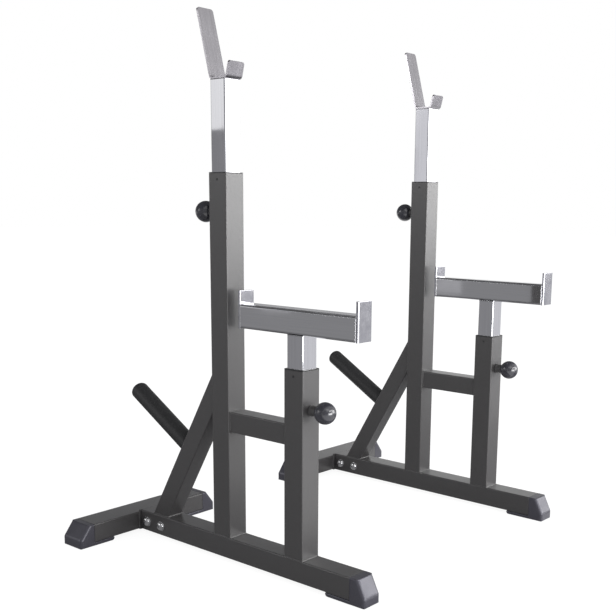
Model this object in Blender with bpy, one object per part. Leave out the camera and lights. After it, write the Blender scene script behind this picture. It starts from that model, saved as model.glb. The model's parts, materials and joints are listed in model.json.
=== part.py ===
"""Pair of free-standing squat rack stands with height-adjustable bar posts and safety posts.

Units are metres and +Z is up. X runs from the left stand to the right stand, the lifter and the
safety beams are on the -Y side, and the cross rails and plate pegs are on the +Y side. The
origin is on the floor, in the middle of the pair. Each stand hangs on an empty that stands on
the floor under its upright, and places below are measured from that empty.
"""

import math

import bmesh
import bpy
from mathutils import Matrix, Vector

# Driving dimensions: gaps and layout of the pair
GAP = 0.0003
STAND_SPACING = 0.835
PAIR_MIDDLE_X = -0.009
UPRIGHT_Y = 0.030625

# Driving dimensions: steel tubes of the frame
TUBE_SIDE = 0.060
TUBE_WALL = 0.0025
TUBE_CORNER = 0.003
LEAST_INNER_CORNER = 0.0008
FOOT_HEIGHT = 0.010
RAIL_HEIGHT = 0.0565
CROSS_RAIL_Y = 0.37325
CROSS_RAIL_DEPTH = 0.080
CROSS_RAIL_HEIGHT = 0.050
CROSS_RAIL_LEFT = -0.183
CROSS_RAIL_RIGHT = 0.201
BASE_RAIL_FRONT_Y = -0.4285
UPRIGHT_TOP = 0.985
SAFETY_TUBE_Y = -0.2515
SAFETY_TUBE_TOP = 0.5325
LINK_WIDTH = 0.050
LINK_HEIGHT = 0.0525
LINK_MIDDLE_Z = 0.3718
BRACE_WIDTH = 0.050
BRACE_DEPTH = 0.052
BRACE_ANGLE = math.radians(59.6)
BRACE_REAR_POINT = (0.1556, 0.2800)

# Driving dimensions: plate storage peg
PEG_RADIUS = 0.0242
PEG_WALL = 0.0025
PEG_LENGTH = 0.255
PEG_DOME = 0.017
PEG_FOOT_POINT = (0.1551, 0.2809)

# Driving dimensions: bolted joint between the base rail and the cross rail
SPIGOT_CLEARANCE = 0.0004
SPIGOT_WALL = 0.003
SPIGOT_LENGTH = 0.117
JOINT_PLATE_WIDTH = 0.070
JOINT_PLATE_THICKNESS = 0.005
JOINT_BOLT_YS = {"front": 0.2435, "rear": 0.3020}
JOINT_BOLT_Z = 0.0375
BOLT_FLANGE_RADIUS = 0.0116
BOLT_FLANGE_HEIGHT = 0.0018
BOLT_HEAD_RADIUS = 0.0098
BOLT_HEAD_HEIGHT = 0.0105
BOLT_RIM_HEIGHT = 0.0030
BOLT_SHANK_RADIUS = 0.005
BOLT_HOLE_RADIUS = 0.0053
BOLT_REACH = 0.0160
NUT_RADIUS = 0.0098
NUT_HEIGHT = 0.008

# Driving dimensions: rubber foot caps, for the base rail in front and the cross rail behind
FRONT_CAP = {
    "width": TUBE_SIDE, "height": RAIL_HEIGHT, "flat": 0.024, "nose": 0.0225, "strip": 0.120,
}
REAR_CAP = {
    "width": CROSS_RAIL_DEPTH, "height": CROSS_RAIL_HEIGHT,
    "flat": 0.018, "nose": 0.0235, "strip": 0.110,
}
CAP_LENGTH = 0.046
CAP_PLUG_LENGTH = 0.030
CAP_PLUG_ROOT = 0.009
CAP_PLUG_CLEARANCE = 0.0005
CAP_CORNER = 0.003
CAP_STRIP_ROUND = 0.007

# Driving dimensions: plastic bushes in the mouths of the outer tubes
BUSH_FLANGE = 0.002
BUSH_SLEEVE_LENGTH = 0.040
BUSH_SLEEVE_CORNER = 0.001
BUSH_STUD_DROP = 0.017
BUSH_STUD_RADIUS = 0.0030
BUSH_STUD_PROUD = 0.0006
BUSH_STUD_ROOT = 0.0010
BUSH_STUD_HOLE_RADIUS = 0.0033

# Driving dimensions: sliding posts
POST_SIDE = 0.050
POST_WALL = 0.002
POST_CORNER = 0.003
BAR_POST_TOP = 1.201
BAR_POST_LENGTH = 0.900
SAFETY_POST_TOP = 0.612
SAFETY_POST_LENGTH = 0.480
RIGHT_SAFETY_RAISE = 0.025
HOLE_PITCH = 0.025
HOLE_RADIUS = 0.0055
BAR_HOLES_ABOVE_PIN = 8
BAR_HOLES_BELOW_PIN = 16
SAFETY_HOLES_ABOVE_PIN = 2
SAFETY_HOLES_BELOW_PIN = 10

# Driving dimensions: bar hook, bent from flat bar
HOOK_WIDTH = 0.050
HOOK_THICKNESS = 0.005
HOOK_LEAN = math.radians(15)
HOOK_FLOOR_REAR_Y = 0.023
HOOK_FLOOR_FRONT_Y = -0.028
HOOK_TOP = 1.369
HOOK_LIP_TOP = 1.2395
HOOK_BEND_RADIUS = 0.0055
HOOK_ARM_CORNER = 0.010
HOOK_LIP_CORNER = 0.006

# Driving dimensions: safety beam
BEAM_WIDTH = 0.050
BEAM_HEIGHT = 0.060
BEAM_WALL = 0.003
BEAM_CORNER = 0.007
BEAM_REAR_Y = -0.070
BEAM_FRONT_Y = -0.432
PLATE_THICKNESS = 0.008
PLATE_HEIGHT = 0.092
PLATE_CORNER = 0.0035

# Driving dimensions: spring-loaded pull pins, measured outward from the face of the tube
BAR_PIN_Z = 0.8905
SAFETY_PIN_Z = 0.4345
PIN_TIP = -0.011
PIN_NOSE_RADIUS = 0.005
PIN_NOSE_CHAMFER = 0.0015
PIN_SHOULDER = (0.0010, 0.0030)
PIN_SHOULDER_RADIUS = 0.007
PIN_STEM_RADIUS = 0.004
PIN_STEM_END = 0.0380
PIN_WALL_HOLE_RADIUS = 0.0053
COLLAR_LENGTH = 0.0200
COLLAR_RADIUS = 0.0125
COLLAR_FLARE_RADIUS = 0.0135
COLLAR_FLARE_LENGTH = 0.0050
COLLAR_CHAMFER = 0.0010
COLLAR_CHAMBER_RADIUS = 0.0075
COLLAR_CHAMBER_END = 0.0172
COLLAR_BORE_RADIUS = 0.0043
KNOB_RADIUS = 0.0265
KNOB_MIDDLE = 0.0455
KNOB_BACK = 0.0210
KNOB_NECK_RADIUS = 0.0118
KNOB_NECK_FLARE = 0.0015
KNOB_BORE_RADIUS = 0.0043
KNOB_BORE_END = 0.0383
SPRING_SPAN = (0.0041, 0.0161)
SPRING_RADIUS = 0.0058
SPRING_WIRE_RADIUS = 0.0006
SPRING_TURNS = 4.5

# Mesh resolution
CORNER_STEPS = 3
TURNED_STEPS = 18
HOLE_STEPS = 10
PIN_STEPS = 16
BOLT_DOME_STEPS = 4
KNOB_STEPS = 9
PEG_STEPS = 22
PEG_DOME_STEPS = 5
CAP_ROUND_STEPS = 4
HOOK_CORNER_STEPS = 4
HOOK_BEND_STEPS = 3
SMOOTH_ANGLE = math.radians(35)
MERGE_DISTANCE = 1e-6
SPRING_STEPS_PER_TURN = 8
SPRING_WIRE_STEPS = 5

RAIL_MIDDLE_Z = FOOT_HEIGHT + RAIL_HEIGHT / 2
RAIL_TOP = FOOT_HEIGHT + RAIL_HEIGHT
TUBE_HALF = TUBE_SIDE / 2
CROSS_RAIL_FRONT = CROSS_RAIL_Y - CROSS_RAIL_DEPTH / 2
CROSS_RAIL_MIDDLE_Z = FOOT_HEIGHT + CROSS_RAIL_HEIGHT / 2
BASE_RAIL_REAR = CROSS_RAIL_FRONT - JOINT_PLATE_THICKNESS - 2 * GAP

# Quarter turns that point a piece's own Z axis along another direction
TOWARDS_REAR = (-math.pi / 2, 0, 0)
TOWARDS_FRONT = (math.pi / 2, 0, 0)
TOWARDS_LEFT = (0, -math.pi / 2, 0)
TOWARDS_RIGHT = (0, math.pi / 2, 0)

# Finishes: base colour, roughness and metallic value
FINISHES = {
    "frame_paint": ((0.058, 0.055, 0.056), 0.45, 0.25),
    "textured_paint": ((0.030, 0.030, 0.031), 0.70, 0.00),
    "chrome": ((0.780, 0.780, 0.800), 0.10, 1.00),
    "satin_steel": ((0.560, 0.550, 0.570), 0.30, 1.00),
    "zinc": ((0.640, 0.640, 0.650), 0.25, 1.00),
    "rubber": ((0.040, 0.039, 0.042), 0.55, 0.00),
    "plastic": ((0.022, 0.022, 0.023), 0.40, 0.00),
    "gloss_plastic": ((0.012, 0.012, 0.013), 0.08, 0.00),
}


def clear_scene():
    """Remove whatever objects the scene starts with."""
    for thing in list(bpy.data.objects):
        bpy.data.objects.remove(thing, do_unlink=True)


def finish_material(name, finish):
    """Material of one piece, with the colour, roughness and metallic value of its finish."""
    colour, roughness, metallic = FINISHES[finish]
    material = bpy.data.materials.new(name)
    material.use_nodes = True
    shader = material.node_tree.nodes["Principled BSDF"]
    shader.inputs["Base Color"].default_value = (*colour, 1.0)
    shader.inputs["Roughness"].default_value = roughness
    shader.inputs["Metallic"].default_value = metallic
    return material


def place(thing, parent, location, rotation):
    """Link an object to the scene and set it down relative to its parent."""
    bpy.context.scene.collection.objects.link(thing)
    thing.parent = parent
    thing.location = location
    thing.rotation_euler = rotation
    return thing


def empty(name, parent=None, location=(0, 0, 0)):
    """Empty that carries the pieces of one stand or of one moving assembly."""
    return place(bpy.data.objects.new(name, None), parent, location, (0, 0, 0))


def piece(name, mesh, finish, parent, location=(0, 0, 0), rotation=(0, 0, 0)):
    """One named sub-part with its own material."""
    mesh.materials.append(finish_material(name + "_finish", finish))
    return place(bpy.data.objects.new(name, mesh), parent, location, rotation)


def helper(name, mesh, parent, location=(0, 0, 0), rotation=(0, 0, 0)):
    """Helper solid for a Boolean, kept out of the model."""
    solid = place(bpy.data.objects.new(name, mesh), parent, location, rotation)
    solid.hide_render = True
    solid.display_type = "WIRE"
    return solid


def combine(target, other, operation):
    """Boolean of a piece with a helper solid."""
    modifier = target.modifiers.new(operation.lower(), "BOOLEAN")
    modifier.solver = "EXACT"
    modifier.operation = operation
    modifier.object = other


def mesh_from(name, builder, smooth=False):
    """Finished mesh of a bmesh, with its faces pointing out."""
    bmesh.ops.recalc_face_normals(builder, faces=builder.faces)
    mesh = bpy.data.meshes.new(name)
    builder.to_mesh(mesh)
    builder.free()
    if smooth:
        mesh.shade_smooth()
        mesh.set_sharp_from_angle(angle=SMOOTH_ANGLE)
    return mesh


def arc(centre, radius, start, end, steps):
    """Points on an arc in a plane, from one angle to another."""
    angles = [start + (end - start) * i / steps for i in range(steps + 1)]
    return [(centre[0] + radius * math.cos(a), centre[1] + radius * math.sin(a)) for a in angles]


def rounded_rectangle(width, depth, corner):
    """Outline of a rectangle with rounded corners, anticlockwise round the origin."""
    points = []
    for quarter, (side_x, side_y) in enumerate(((1, 1), (-1, 1), (-1, -1), (1, -1))):
        centre = (side_x * (width / 2 - corner), side_y * (depth / 2 - corner))
        start = quarter * math.pi / 2
        points += arc(centre, corner, start, start + math.pi / 2, CORNER_STEPS)
    return points


def lofted_mesh(name, loops, ring=False, smooth=False):
    """Skin through loops with the same number of points: capped, or closed into a ring."""
    builder = bmesh.new()
    rows = [[builder.verts.new(point) for point in loop] for loop in loops]
    pairs = list(zip(rows, rows[1:]))
    if ring:
        pairs.append((rows[-1], rows[0]))
    else:
        builder.faces.new(rows[0])
        builder.faces.new(rows[-1])
    for row, following in pairs:
        for i in range(len(row)):
            j = (i + 1) % len(row)
            builder.faces.new((row[i], row[j], following[j], following[i]))
    return mesh_from(name, builder, smooth)


def at_height(outline, height):
    """Outline in the XY plane lifted to a height."""
    return [(x, y, height) for x, y in outline]


def tube_mesh(name, width, depth, length, wall, corner):
    """Rectangular tube with open ends, running up from the origin."""
    outer = rounded_rectangle(width, depth, corner)
    inner = rounded_rectangle(width - 2 * wall, depth - 2 * wall, max(corner - wall, LEAST_INNER_CORNER))
    loops = [
        at_height(outer, 0),
        at_height(outer, length),
        at_height(inner, length),
        at_height(inner, 0),
    ]
    return lofted_mesh(name, loops, ring=True, smooth=True)


def block_mesh(name, width, depth, height, corner):
    """Solid block with rounded upright edges, rising from the origin."""
    outline = rounded_rectangle(width, depth, corner)
    return lofted_mesh(name, [at_height(outline, 0), at_height(outline, height)], smooth=True)


def turned_mesh(name, profile, closed=False, steps=TURNED_STEPS):
    """Solid of revolution about Z from (radius, height) points; a closed profile is a ring."""
    builder = bmesh.new()
    corners = [builder.verts.new((radius, 0, height)) for radius, height in profile]
    edges = [builder.edges.new(pair) for pair in zip(corners, corners[1:])]
    if closed:
        edges.append(builder.edges.new((corners[-1], corners[0])))
    bmesh.ops.spin(
        builder,
        geom=corners + edges,
        cent=(0, 0, 0),
        axis=(0, 0, 1),
        angle=2 * math.pi,
        steps=steps,
    )
    bmesh.ops.remove_doubles(builder, verts=builder.verts, dist=MERGE_DISTANCE)
    return mesh_from(name, builder, smooth=True)


def rods_mesh(name, radius, length, offsets):
    """Round rods along Z, each about the middle of its offset, as one cutting solid."""
    builder = bmesh.new()
    for offset in offsets:
        bmesh.ops.create_cone(
            builder,
            cap_ends=True,
            segments=HOLE_STEPS,
            radius1=radius,
            radius2=radius,
            depth=length,
            matrix=Matrix.Translation(offset),
        )
    return mesh_from(name, builder)


def bore(target, parent, place_at, rotation, radius, length, offsets=((0, 0, 0),)):
    """Cut round holes through a piece, each about a point, along the rotated Z axis."""
    name = target.name + "_hole_cutter"
    rods = helper(name, rods_mesh(name, radius, length, offsets), parent, place_at, rotation)
    combine(target, rods, "DIFFERENCE")


def add_base_rail(side, stand):
    """Floor rail from the joint plate to the front foot, drilled for the two joint bolts."""
    length = BASE_RAIL_REAR - BASE_RAIL_FRONT_Y
    name = side + "_base_rail"
    mesh = tube_mesh(name, TUBE_SIDE, RAIL_HEIGHT, length, TUBE_WALL, TUBE_CORNER)
    rail = piece(
        name, mesh, "frame_paint", stand, (0, BASE_RAIL_FRONT_Y, RAIL_MIDDLE_Z), TOWARDS_REAR
    )
    for bolt_y in JOINT_BOLT_YS.values():
        hole_at = (-TUBE_HALF, bolt_y, JOINT_BOLT_Z)
        bore(rail, stand, hole_at, TOWARDS_LEFT, BOLT_HOLE_RADIUS, 4 * TUBE_WALL)


def add_cross_rail(side, stand):
    """Rear floor rail that runs across the stand, of a wider and lower tube."""
    name = side + "_cross_rail"
    length = CROSS_RAIL_RIGHT - CROSS_RAIL_LEFT
    mesh = tube_mesh(
        name, CROSS_RAIL_HEIGHT, CROSS_RAIL_DEPTH, length, TUBE_WALL, TUBE_CORNER
    )
    start = (CROSS_RAIL_LEFT, CROSS_RAIL_Y, CROSS_RAIL_MIDDLE_Z)
    piece(name, mesh, "frame_paint", stand, start, TOWARDS_RIGHT)


def add_joint_spigot(side, stand):
    """Joint plate on the cross rail, with a stub tube that the base rail slides over.

    The stub carries two captive nuts on the inside of its left wall.
    """
    width = TUBE_SIDE - 2 * TUBE_WALL - 2 * SPIGOT_CLEARANCE
    height = RAIL_HEIGHT - 2 * TUBE_WALL - 2 * SPIGOT_CLEARANCE
    plate_front = CROSS_RAIL_FRONT - GAP - JOINT_PLATE_THICKNESS
    name = side + "_joint_spigot"
    root = JOINT_PLATE_THICKNESS / 2
    mesh = tube_mesh(name, width, height, SPIGOT_LENGTH + root, SPIGOT_WALL, TUBE_CORNER)
    front_end = (0, plate_front - SPIGOT_LENGTH, RAIL_MIDDLE_Z)
    spigot = piece(name, mesh, "frame_paint", stand, front_end, TOWARDS_REAR)
    plate_name = name + "_plate"
    plate = block_mesh(
        plate_name, JOINT_PLATE_WIDTH, RAIL_HEIGHT, JOINT_PLATE_THICKNESS, TUBE_CORNER
    )
    plate_at = (0, plate_front, RAIL_MIDDLE_Z)
    combine(spigot, helper(plate_name, plate, stand, plate_at, TOWARDS_REAR), "UNION")
    wall_inside = -width / 2 + SPIGOT_WALL
    nut_outline = arc((0, 0), NUT_RADIUS, 0, 5 * math.pi / 3, 5)
    root = -SPIGOT_WALL / 2
    for position, bolt_y in JOINT_BOLT_YS.items():
        nut_name = name + "_nut_" + position
        nut = lofted_mesh(
            nut_name, [at_height(nut_outline, root), at_height(nut_outline, NUT_HEIGHT)]
        )
        nut_at = (wall_inside, bolt_y, JOINT_BOLT_Z)
        combine(spigot, helper(nut_name, nut, stand, nut_at, TOWARDS_RIGHT), "UNION")
        bore(spigot, stand, nut_at, TOWARDS_RIGHT, BOLT_HOLE_RADIUS, 4 * NUT_HEIGHT)


def add_joint_bolts(side, stand):
    """Dome-headed flange bolts through the left wall of the base rail into the captive nuts."""
    rim = GAP + BOLT_RIM_HEIGHT
    flange_top = GAP + BOLT_FLANGE_HEIGHT
    rise = BOLT_HEAD_HEIGHT - BOLT_RIM_HEIGHT
    dome = [
        (BOLT_HEAD_RADIUS * math.cos(a), rim + rise * math.sin(a))
        for a in (math.pi / 2 * i / BOLT_DOME_STEPS for i in range(BOLT_DOME_STEPS))
    ]
    dome.append((0, rim + rise))
    profile = [(0, -BOLT_REACH), (BOLT_SHANK_RADIUS, -BOLT_REACH)]
    profile += [(BOLT_SHANK_RADIUS, GAP), (BOLT_FLANGE_RADIUS, GAP)]
    profile += [(BOLT_FLANGE_RADIUS, flange_top), (BOLT_HEAD_RADIUS, flange_top)]
    profile += dome
    for position, bolt_y in JOINT_BOLT_YS.items():
        name = side + "_joint_bolt_" + position
        mesh = turned_mesh(name, profile, steps=PIN_STEPS)
        piece(name, mesh, "zinc", stand, (-TUBE_HALF, bolt_y, JOINT_BOLT_Z), TOWARDS_LEFT)


def cap_outline(shape):
    """Side view of a foot cap: Y runs outward from the end of the tube, Z up from the floor."""
    strip_end = CAP_LENGTH - shape["strip"]
    top = FOOT_HEIGHT + shape["height"]
    strip_top = FOOT_HEIGHT - GAP
    round_centre = (strip_end + CAP_STRIP_ROUND, CAP_STRIP_ROUND)
    underside = arc(round_centre, CAP_STRIP_ROUND, 1.5 * math.pi, math.pi, CAP_ROUND_STEPS)
    return [
        (GAP, strip_top),
        (GAP, top),
        (shape["flat"], top),
        (CAP_LENGTH, shape["nose"]),
        (CAP_LENGTH, 0),
        *underside,
        (strip_end, strip_top),
    ]


def cap_mesh(name, shape):
    """Foot cap without its plug, with every edge of its block above the floor softened."""
    builder = bmesh.new()
    top = FOOT_HEIGHT + shape["height"]
    sides = []
    for x in (-shape["width"] / 2, shape["width"] / 2):
        corners = [builder.verts.new((x, y, z)) for y, z in cap_outline(shape)]
        builder.faces.new(corners)
        sides.append(corners)
    for i in range(len(sides[0])):
        j = (i + 1) % len(sides[0])
        builder.faces.new((sides[0][i], sides[0][j], sides[1][j], sides[1][i]))
    bmesh.ops.recalc_face_normals(builder, faces=builder.faces)

    def on_block(corner):
        """Whether a corner is on the outer skin of the block, above the floor."""
        return corner.co.z > top - GAP or corner.co.y > CAP_LENGTH - GAP

    soft = [
        edge for edge in builder.edges
        if all(on_block(corner) for corner in edge.verts)
        and max(corner.co.y for corner in edge.verts) > 2 * GAP
        and max(corner.co.z for corner in edge.verts) > GAP
    ]
    bmesh.ops.bevel(
        builder, geom=soft, offset=CAP_CORNER, segments=2, affect="EDGES", profile=0.5
    )
    return mesh_from(name, builder)


def add_foot_cap(name, stand, shape, location, turn):
    """Rubber cap with a sloping nose, a plug inside the tube and a foot strip under it."""
    cap = piece(name, cap_mesh(name, shape), "rubber", stand, location, (0, 0, turn))
    inside = 2 * (TUBE_WALL + CAP_PLUG_CLEARANCE)
    plug_name = name + "_plug"
    length = CAP_PLUG_LENGTH + CAP_PLUG_ROOT
    plug = block_mesh(
        plug_name, shape["width"] - inside, shape["height"] - inside, length, TUBE_CORNER
    )
    out = Matrix.Rotation(turn, 3, "Z") @ Vector((0, 1, 0))
    start = Vector(location) + CAP_PLUG_LENGTH * -out
    plug_at = (start.x, start.y, FOOT_HEIGHT + shape["height"] / 2)
    solid = helper(plug_name, plug, stand, plug_at, (-math.pi / 2, 0, turn))
    combine(cap, solid, "UNION")


def add_foot_caps(side, stand):
    """Front cap on the base rail and the two caps on the cross rail."""
    front = (0, BASE_RAIL_FRONT_Y, 0)
    left = (CROSS_RAIL_LEFT, CROSS_RAIL_Y, 0)
    right = (CROSS_RAIL_RIGHT, CROSS_RAIL_Y, 0)
    add_foot_cap(side + "_front_foot_cap", stand, FRONT_CAP, front, math.pi)
    add_foot_cap(side + "_rear_foot_cap_left", stand, REAR_CAP, left, math.pi / 2)
    add_foot_cap(side + "_rear_foot_cap_right", stand, REAR_CAP, right, -math.pi / 2)


def add_outer_tube(name, stand, tube_y, top, pin_z, pin_rotation, pin_face_y):
    """Upright outer tube on the base rail, drilled for its pull pin and its bush stud."""
    bottom = RAIL_TOP + GAP
    length = top - BUSH_FLANGE - GAP - bottom
    mesh = tube_mesh(name, TUBE_SIDE, TUBE_SIDE, length, TUBE_WALL, TUBE_CORNER)
    tube = piece(name, mesh, "frame_paint", stand, (0, tube_y, bottom))
    pin_at = (0, pin_face_y, pin_z)
    bore(tube, stand, pin_at, pin_rotation, PIN_WALL_HOLE_RADIUS, 4 * TUBE_WALL)
    stud_at = (-TUBE_HALF, tube_y, top - BUSH_STUD_DROP)
    bore(tube, stand, stud_at, TOWARDS_LEFT, BUSH_STUD_HOLE_RADIUS, 4 * TUBE_WALL)


def add_bush(name, stand, tube_y, top):
    """Plastic bush: sleeve round the sliding post, flange on the tube and a snap stud."""
    sleeve_side = TUBE_SIDE - 2 * TUBE_WALL - 2 * GAP
    bore_side = POST_SIDE + 2 * GAP
    sleeve = rounded_rectangle(sleeve_side, sleeve_side, BUSH_SLEEVE_CORNER)
    flange = rounded_rectangle(TUBE_SIDE, TUBE_SIDE, TUBE_CORNER)
    inside = rounded_rectangle(bore_side, bore_side, POST_CORNER)
    loops = [
        at_height(sleeve, top - BUSH_FLANGE - BUSH_SLEEVE_LENGTH),
        at_height(sleeve, top - BUSH_FLANGE),
        at_height(flange, top - BUSH_FLANGE),
        at_height(flange, top),
        at_height(inside, top),
        at_height(inside, top - BUSH_FLANGE - BUSH_SLEEVE_LENGTH),
    ]
    bush = piece(
        name, lofted_mesh(name, loops, ring=True, smooth=True), "plastic", stand, (0, tube_y, 0)
    )
    stud_name = name + "_stud"
    stud_root = TUBE_WALL + GAP + BUSH_STUD_ROOT
    stud_length = stud_root + BUSH_STUD_PROUD
    stud = rods_mesh(stud_name, BUSH_STUD_RADIUS, stud_length, ((0, 0, stud_length / 2),))
    stud_at = (-TUBE_HALF + stud_root, tube_y, top - BUSH_STUD_DROP)
    combine(bush, helper(stud_name, stud, stand, stud_at, TOWARDS_LEFT), "UNION")


def add_link_tube(side, stand):
    """Short horizontal tube between the upright and the safety tube."""
    front = SAFETY_TUBE_Y + TUBE_HALF + GAP
    length = -TUBE_HALF - GAP - front
    name = side + "_link_tube"
    mesh = tube_mesh(name, LINK_WIDTH, LINK_HEIGHT, length, TUBE_WALL, TUBE_CORNER)
    piece(name, mesh, "frame_paint", stand, (0, front, LINK_MIDDLE_Z), TOWARDS_REAR)


def add_brace_tube(side, stand):
    """Diagonal tube from the base rail up to the back of the upright, mitred at both ends."""
    along = Vector((0, -math.cos(BRACE_ANGLE), math.sin(BRACE_ANGLE)))
    outward = Vector((0, math.sin(BRACE_ANGLE), math.cos(BRACE_ANGLE)))
    across = Vector((1, 0, 0))
    middle = Vector((0, *BRACE_REAR_POINT)) - outward * BRACE_DEPTH / 2
    outer = rounded_rectangle(BRACE_WIDTH, BRACE_DEPTH, TUBE_CORNER)
    inside = 2 * TUBE_WALL
    inner = rounded_rectangle(BRACE_WIDTH - inside, BRACE_DEPTH - inside, LEAST_INNER_CORNER)

    def mitre(outline, axis, level):
        """Points where the tube's long edges meet the plane where one coordinate is level."""
        points = []
        for u, v in outline:
            start = middle + across * u + outward * v
            points.append(start + along * (level - start[axis]) / along[axis])
        return points

    foot, head = (2, RAIL_TOP + GAP), (1, TUBE_HALF + GAP)
    loops = [mitre(outer, *foot), mitre(outer, *head), mitre(inner, *head), mitre(inner, *foot)]
    name = side + "_brace_tube"
    mesh = lofted_mesh(name, loops, ring=True, smooth=True)
    piece(name, mesh, "frame_paint", stand)


def add_plate_peg(side, stand):
    """Hollow round peg with a domed end, square to the rear face of the brace."""
    shoulder = PEG_LENGTH - PEG_DOME
    quarter = [math.pi / 2 * i / PEG_DOME_STEPS for i in range(PEG_DOME_STEPS + 1)]
    outside = [
        (PEG_RADIUS * math.cos(a), shoulder + PEG_DOME * math.sin(a)) for a in quarter
    ]
    bore_radius = PEG_RADIUS - PEG_WALL
    inside = [
        (bore_radius * math.cos(a), shoulder + (PEG_DOME - PEG_WALL) * math.sin(a))
        for a in quarter
    ]
    outside[-1] = (0, PEG_LENGTH)
    inside[-1] = (0, PEG_LENGTH - PEG_WALL)
    profile = [*reversed(inside), (bore_radius, GAP), (PEG_RADIUS, GAP), *outside]
    name = side + "_plate_peg"
    mesh = turned_mesh(name, profile, steps=PEG_STEPS)
    foot = (0, *PEG_FOOT_POINT)
    piece(name, mesh, "textured_paint", stand, foot, (-BRACE_ANGLE, 0, 0))


def hole_offsets(rows_above, rows_below, climb):
    """Holes above and below the pin on the drill's own Y axis; climb is the sign that is up."""
    return [(0, climb * HOLE_PITCH * row, 0) for row in range(-rows_below, rows_above + 1)]


def add_sliding_post(name, carrier, top, length, pin_z, pin_rotation, rows_above, rows_below):
    """Chromed post with a row of adjustment holes in the wall that faces its pull pin."""
    mesh = tube_mesh(name, POST_SIDE, POST_SIDE, length - GAP, POST_WALL, POST_CORNER)
    post = piece(name, mesh, "chrome", carrier, (0, 0, top - length))
    facing = 1 if pin_rotation == TOWARDS_REAR else -1
    wall_at = (0, facing * POST_SIDE / 2, pin_z)
    offsets = hole_offsets(rows_above, rows_below, -facing)
    bore(post, carrier, wall_at, pin_rotation, HOLE_RADIUS, 4 * POST_WALL, offsets)


def hook_stations():
    """Centre line of the bent bar from lip to arm: (point, normal, half width) in the YZ plane."""
    half = HOOK_THICKNESS / 2
    level = BAR_POST_TOP + half
    lean_in, lean_out = math.sin(HOOK_LEAN), math.cos(HOOK_LEAN)
    setback = (half + HOOK_BEND_RADIUS) * math.tan((math.pi / 2 - HOOK_LEAN) / 2)
    bend = HOOK_BEND_RADIUS + half
    stations = []

    def ramp(foot_y, forward, top, corner):
        """Stations of a leaning end, from its bend up to its rounded top edge."""
        lean = Vector((forward * lean_in, lean_out))
        normal = Vector((-forward * lean_out, lean_in))
        foot = Vector((foot_y, level)) + lean * setback
        reach = (top - foot.y) / lean_out
        rounded = arc((0, 0), corner, 0, math.pi / 2, HOOK_CORNER_STEPS)
        ends = [(reach - corner + x, HOOK_WIDTH / 2 - corner + y) for y, x in rounded]
        rows = [(0, HOOK_WIDTH / 2), *ends]
        return [(foot + lean * distance, normal, width) for distance, width in rows]

    def elbow(centre_y, forward):
        """Stations round a bend, from the flat floor to the leaning end."""
        centre = Vector((centre_y, level + bend))
        sweep = math.pi / 2 - HOOK_LEAN
        rows = []
        for i in range(HOOK_BEND_STEPS + 1):
            angle = sweep * i / HOOK_BEND_STEPS
            inward = Vector((-forward * math.sin(angle), math.cos(angle)))
            rows.append((centre - inward * bend, inward, HOOK_WIDTH / 2))
        return rows

    rear_corner = HOOK_FLOOR_REAR_Y + half * math.tan((math.pi / 2 - HOOK_LEAN) / 2)
    front_corner = HOOK_FLOOR_FRONT_Y - half * math.tan((math.pi / 2 - HOOK_LEAN) / 2)
    lip = ramp(front_corner, -1, HOOK_LIP_TOP, HOOK_LIP_CORNER)
    arm = ramp(rear_corner, 1, HOOK_TOP, HOOK_ARM_CORNER)
    stations += reversed(lip[1:])
    stations += reversed(elbow(front_corner + setback, -1))
    stations += elbow(rear_corner - setback, 1)
    stations += arm[1:]
    return stations


def add_bar_hook(side, carrier):
    """Bar cradle bent from one flat bar: tall leaning rear arm, flat floor and short front lip."""
    half = HOOK_THICKNESS / 2
    loops = []
    for point, normal, width in hook_stations():
        low, high = point - normal * half, point + normal * half
        loops.append([
            (-width, low.x, low.y),
            (width, low.x, low.y),
            (width, high.x, high.y),
            (-width, high.x, high.y),
        ])
    name = side + "_bar_hook"
    mesh = lofted_mesh(name, loops)
    piece(name, mesh, "satin_steel", carrier)


def add_safety_beam(side, carrier):
    """Square safety beam on top of its post, closed by a stop plate at each end."""
    name = side + "_safety_beam"
    rear, front = BEAM_REAR_Y - SAFETY_TUBE_Y, BEAM_FRONT_Y - SAFETY_TUBE_Y
    mesh = tube_mesh(name, BEAM_WIDTH, BEAM_HEIGHT, rear - front, BEAM_WALL, BEAM_CORNER)
    middle_z = SAFETY_POST_TOP + BEAM_HEIGHT / 2
    piece(name, mesh, "satin_steel", carrier, (0, front, middle_z), TOWARDS_REAR)
    half_plate = PLATE_THICKNESS / 2 + GAP
    for position, plate_y in (("front", front - half_plate), ("rear", rear + half_plate)):
        plate_name = side + "_beam_" + position + "_plate"
        plate = block_mesh(plate_name, BEAM_WIDTH, PLATE_THICKNESS, PLATE_HEIGHT, PLATE_CORNER)
        piece(plate_name, plate, "satin_steel", carrier, (0, plate_y, SAFETY_POST_TOP))


def pin_profile():
    """Half outline of a pull pin: nose, shoulder that the spring presses, and threaded stem."""
    chamfered = PIN_NOSE_RADIUS - PIN_NOSE_CHAMFER
    return [
        (0, PIN_TIP),
        (chamfered, PIN_TIP),
        (PIN_NOSE_RADIUS, PIN_TIP + PIN_NOSE_CHAMFER),
        (PIN_NOSE_RADIUS, PIN_SHOULDER[0]),
        (PIN_SHOULDER_RADIUS, PIN_SHOULDER[0]),
        (PIN_SHOULDER_RADIUS, PIN_SHOULDER[1]),
        (PIN_STEM_RADIUS, PIN_SHOULDER[1]),
        (PIN_STEM_RADIUS, PIN_STEM_END),
        (0, PIN_STEM_END),
    ]


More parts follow.
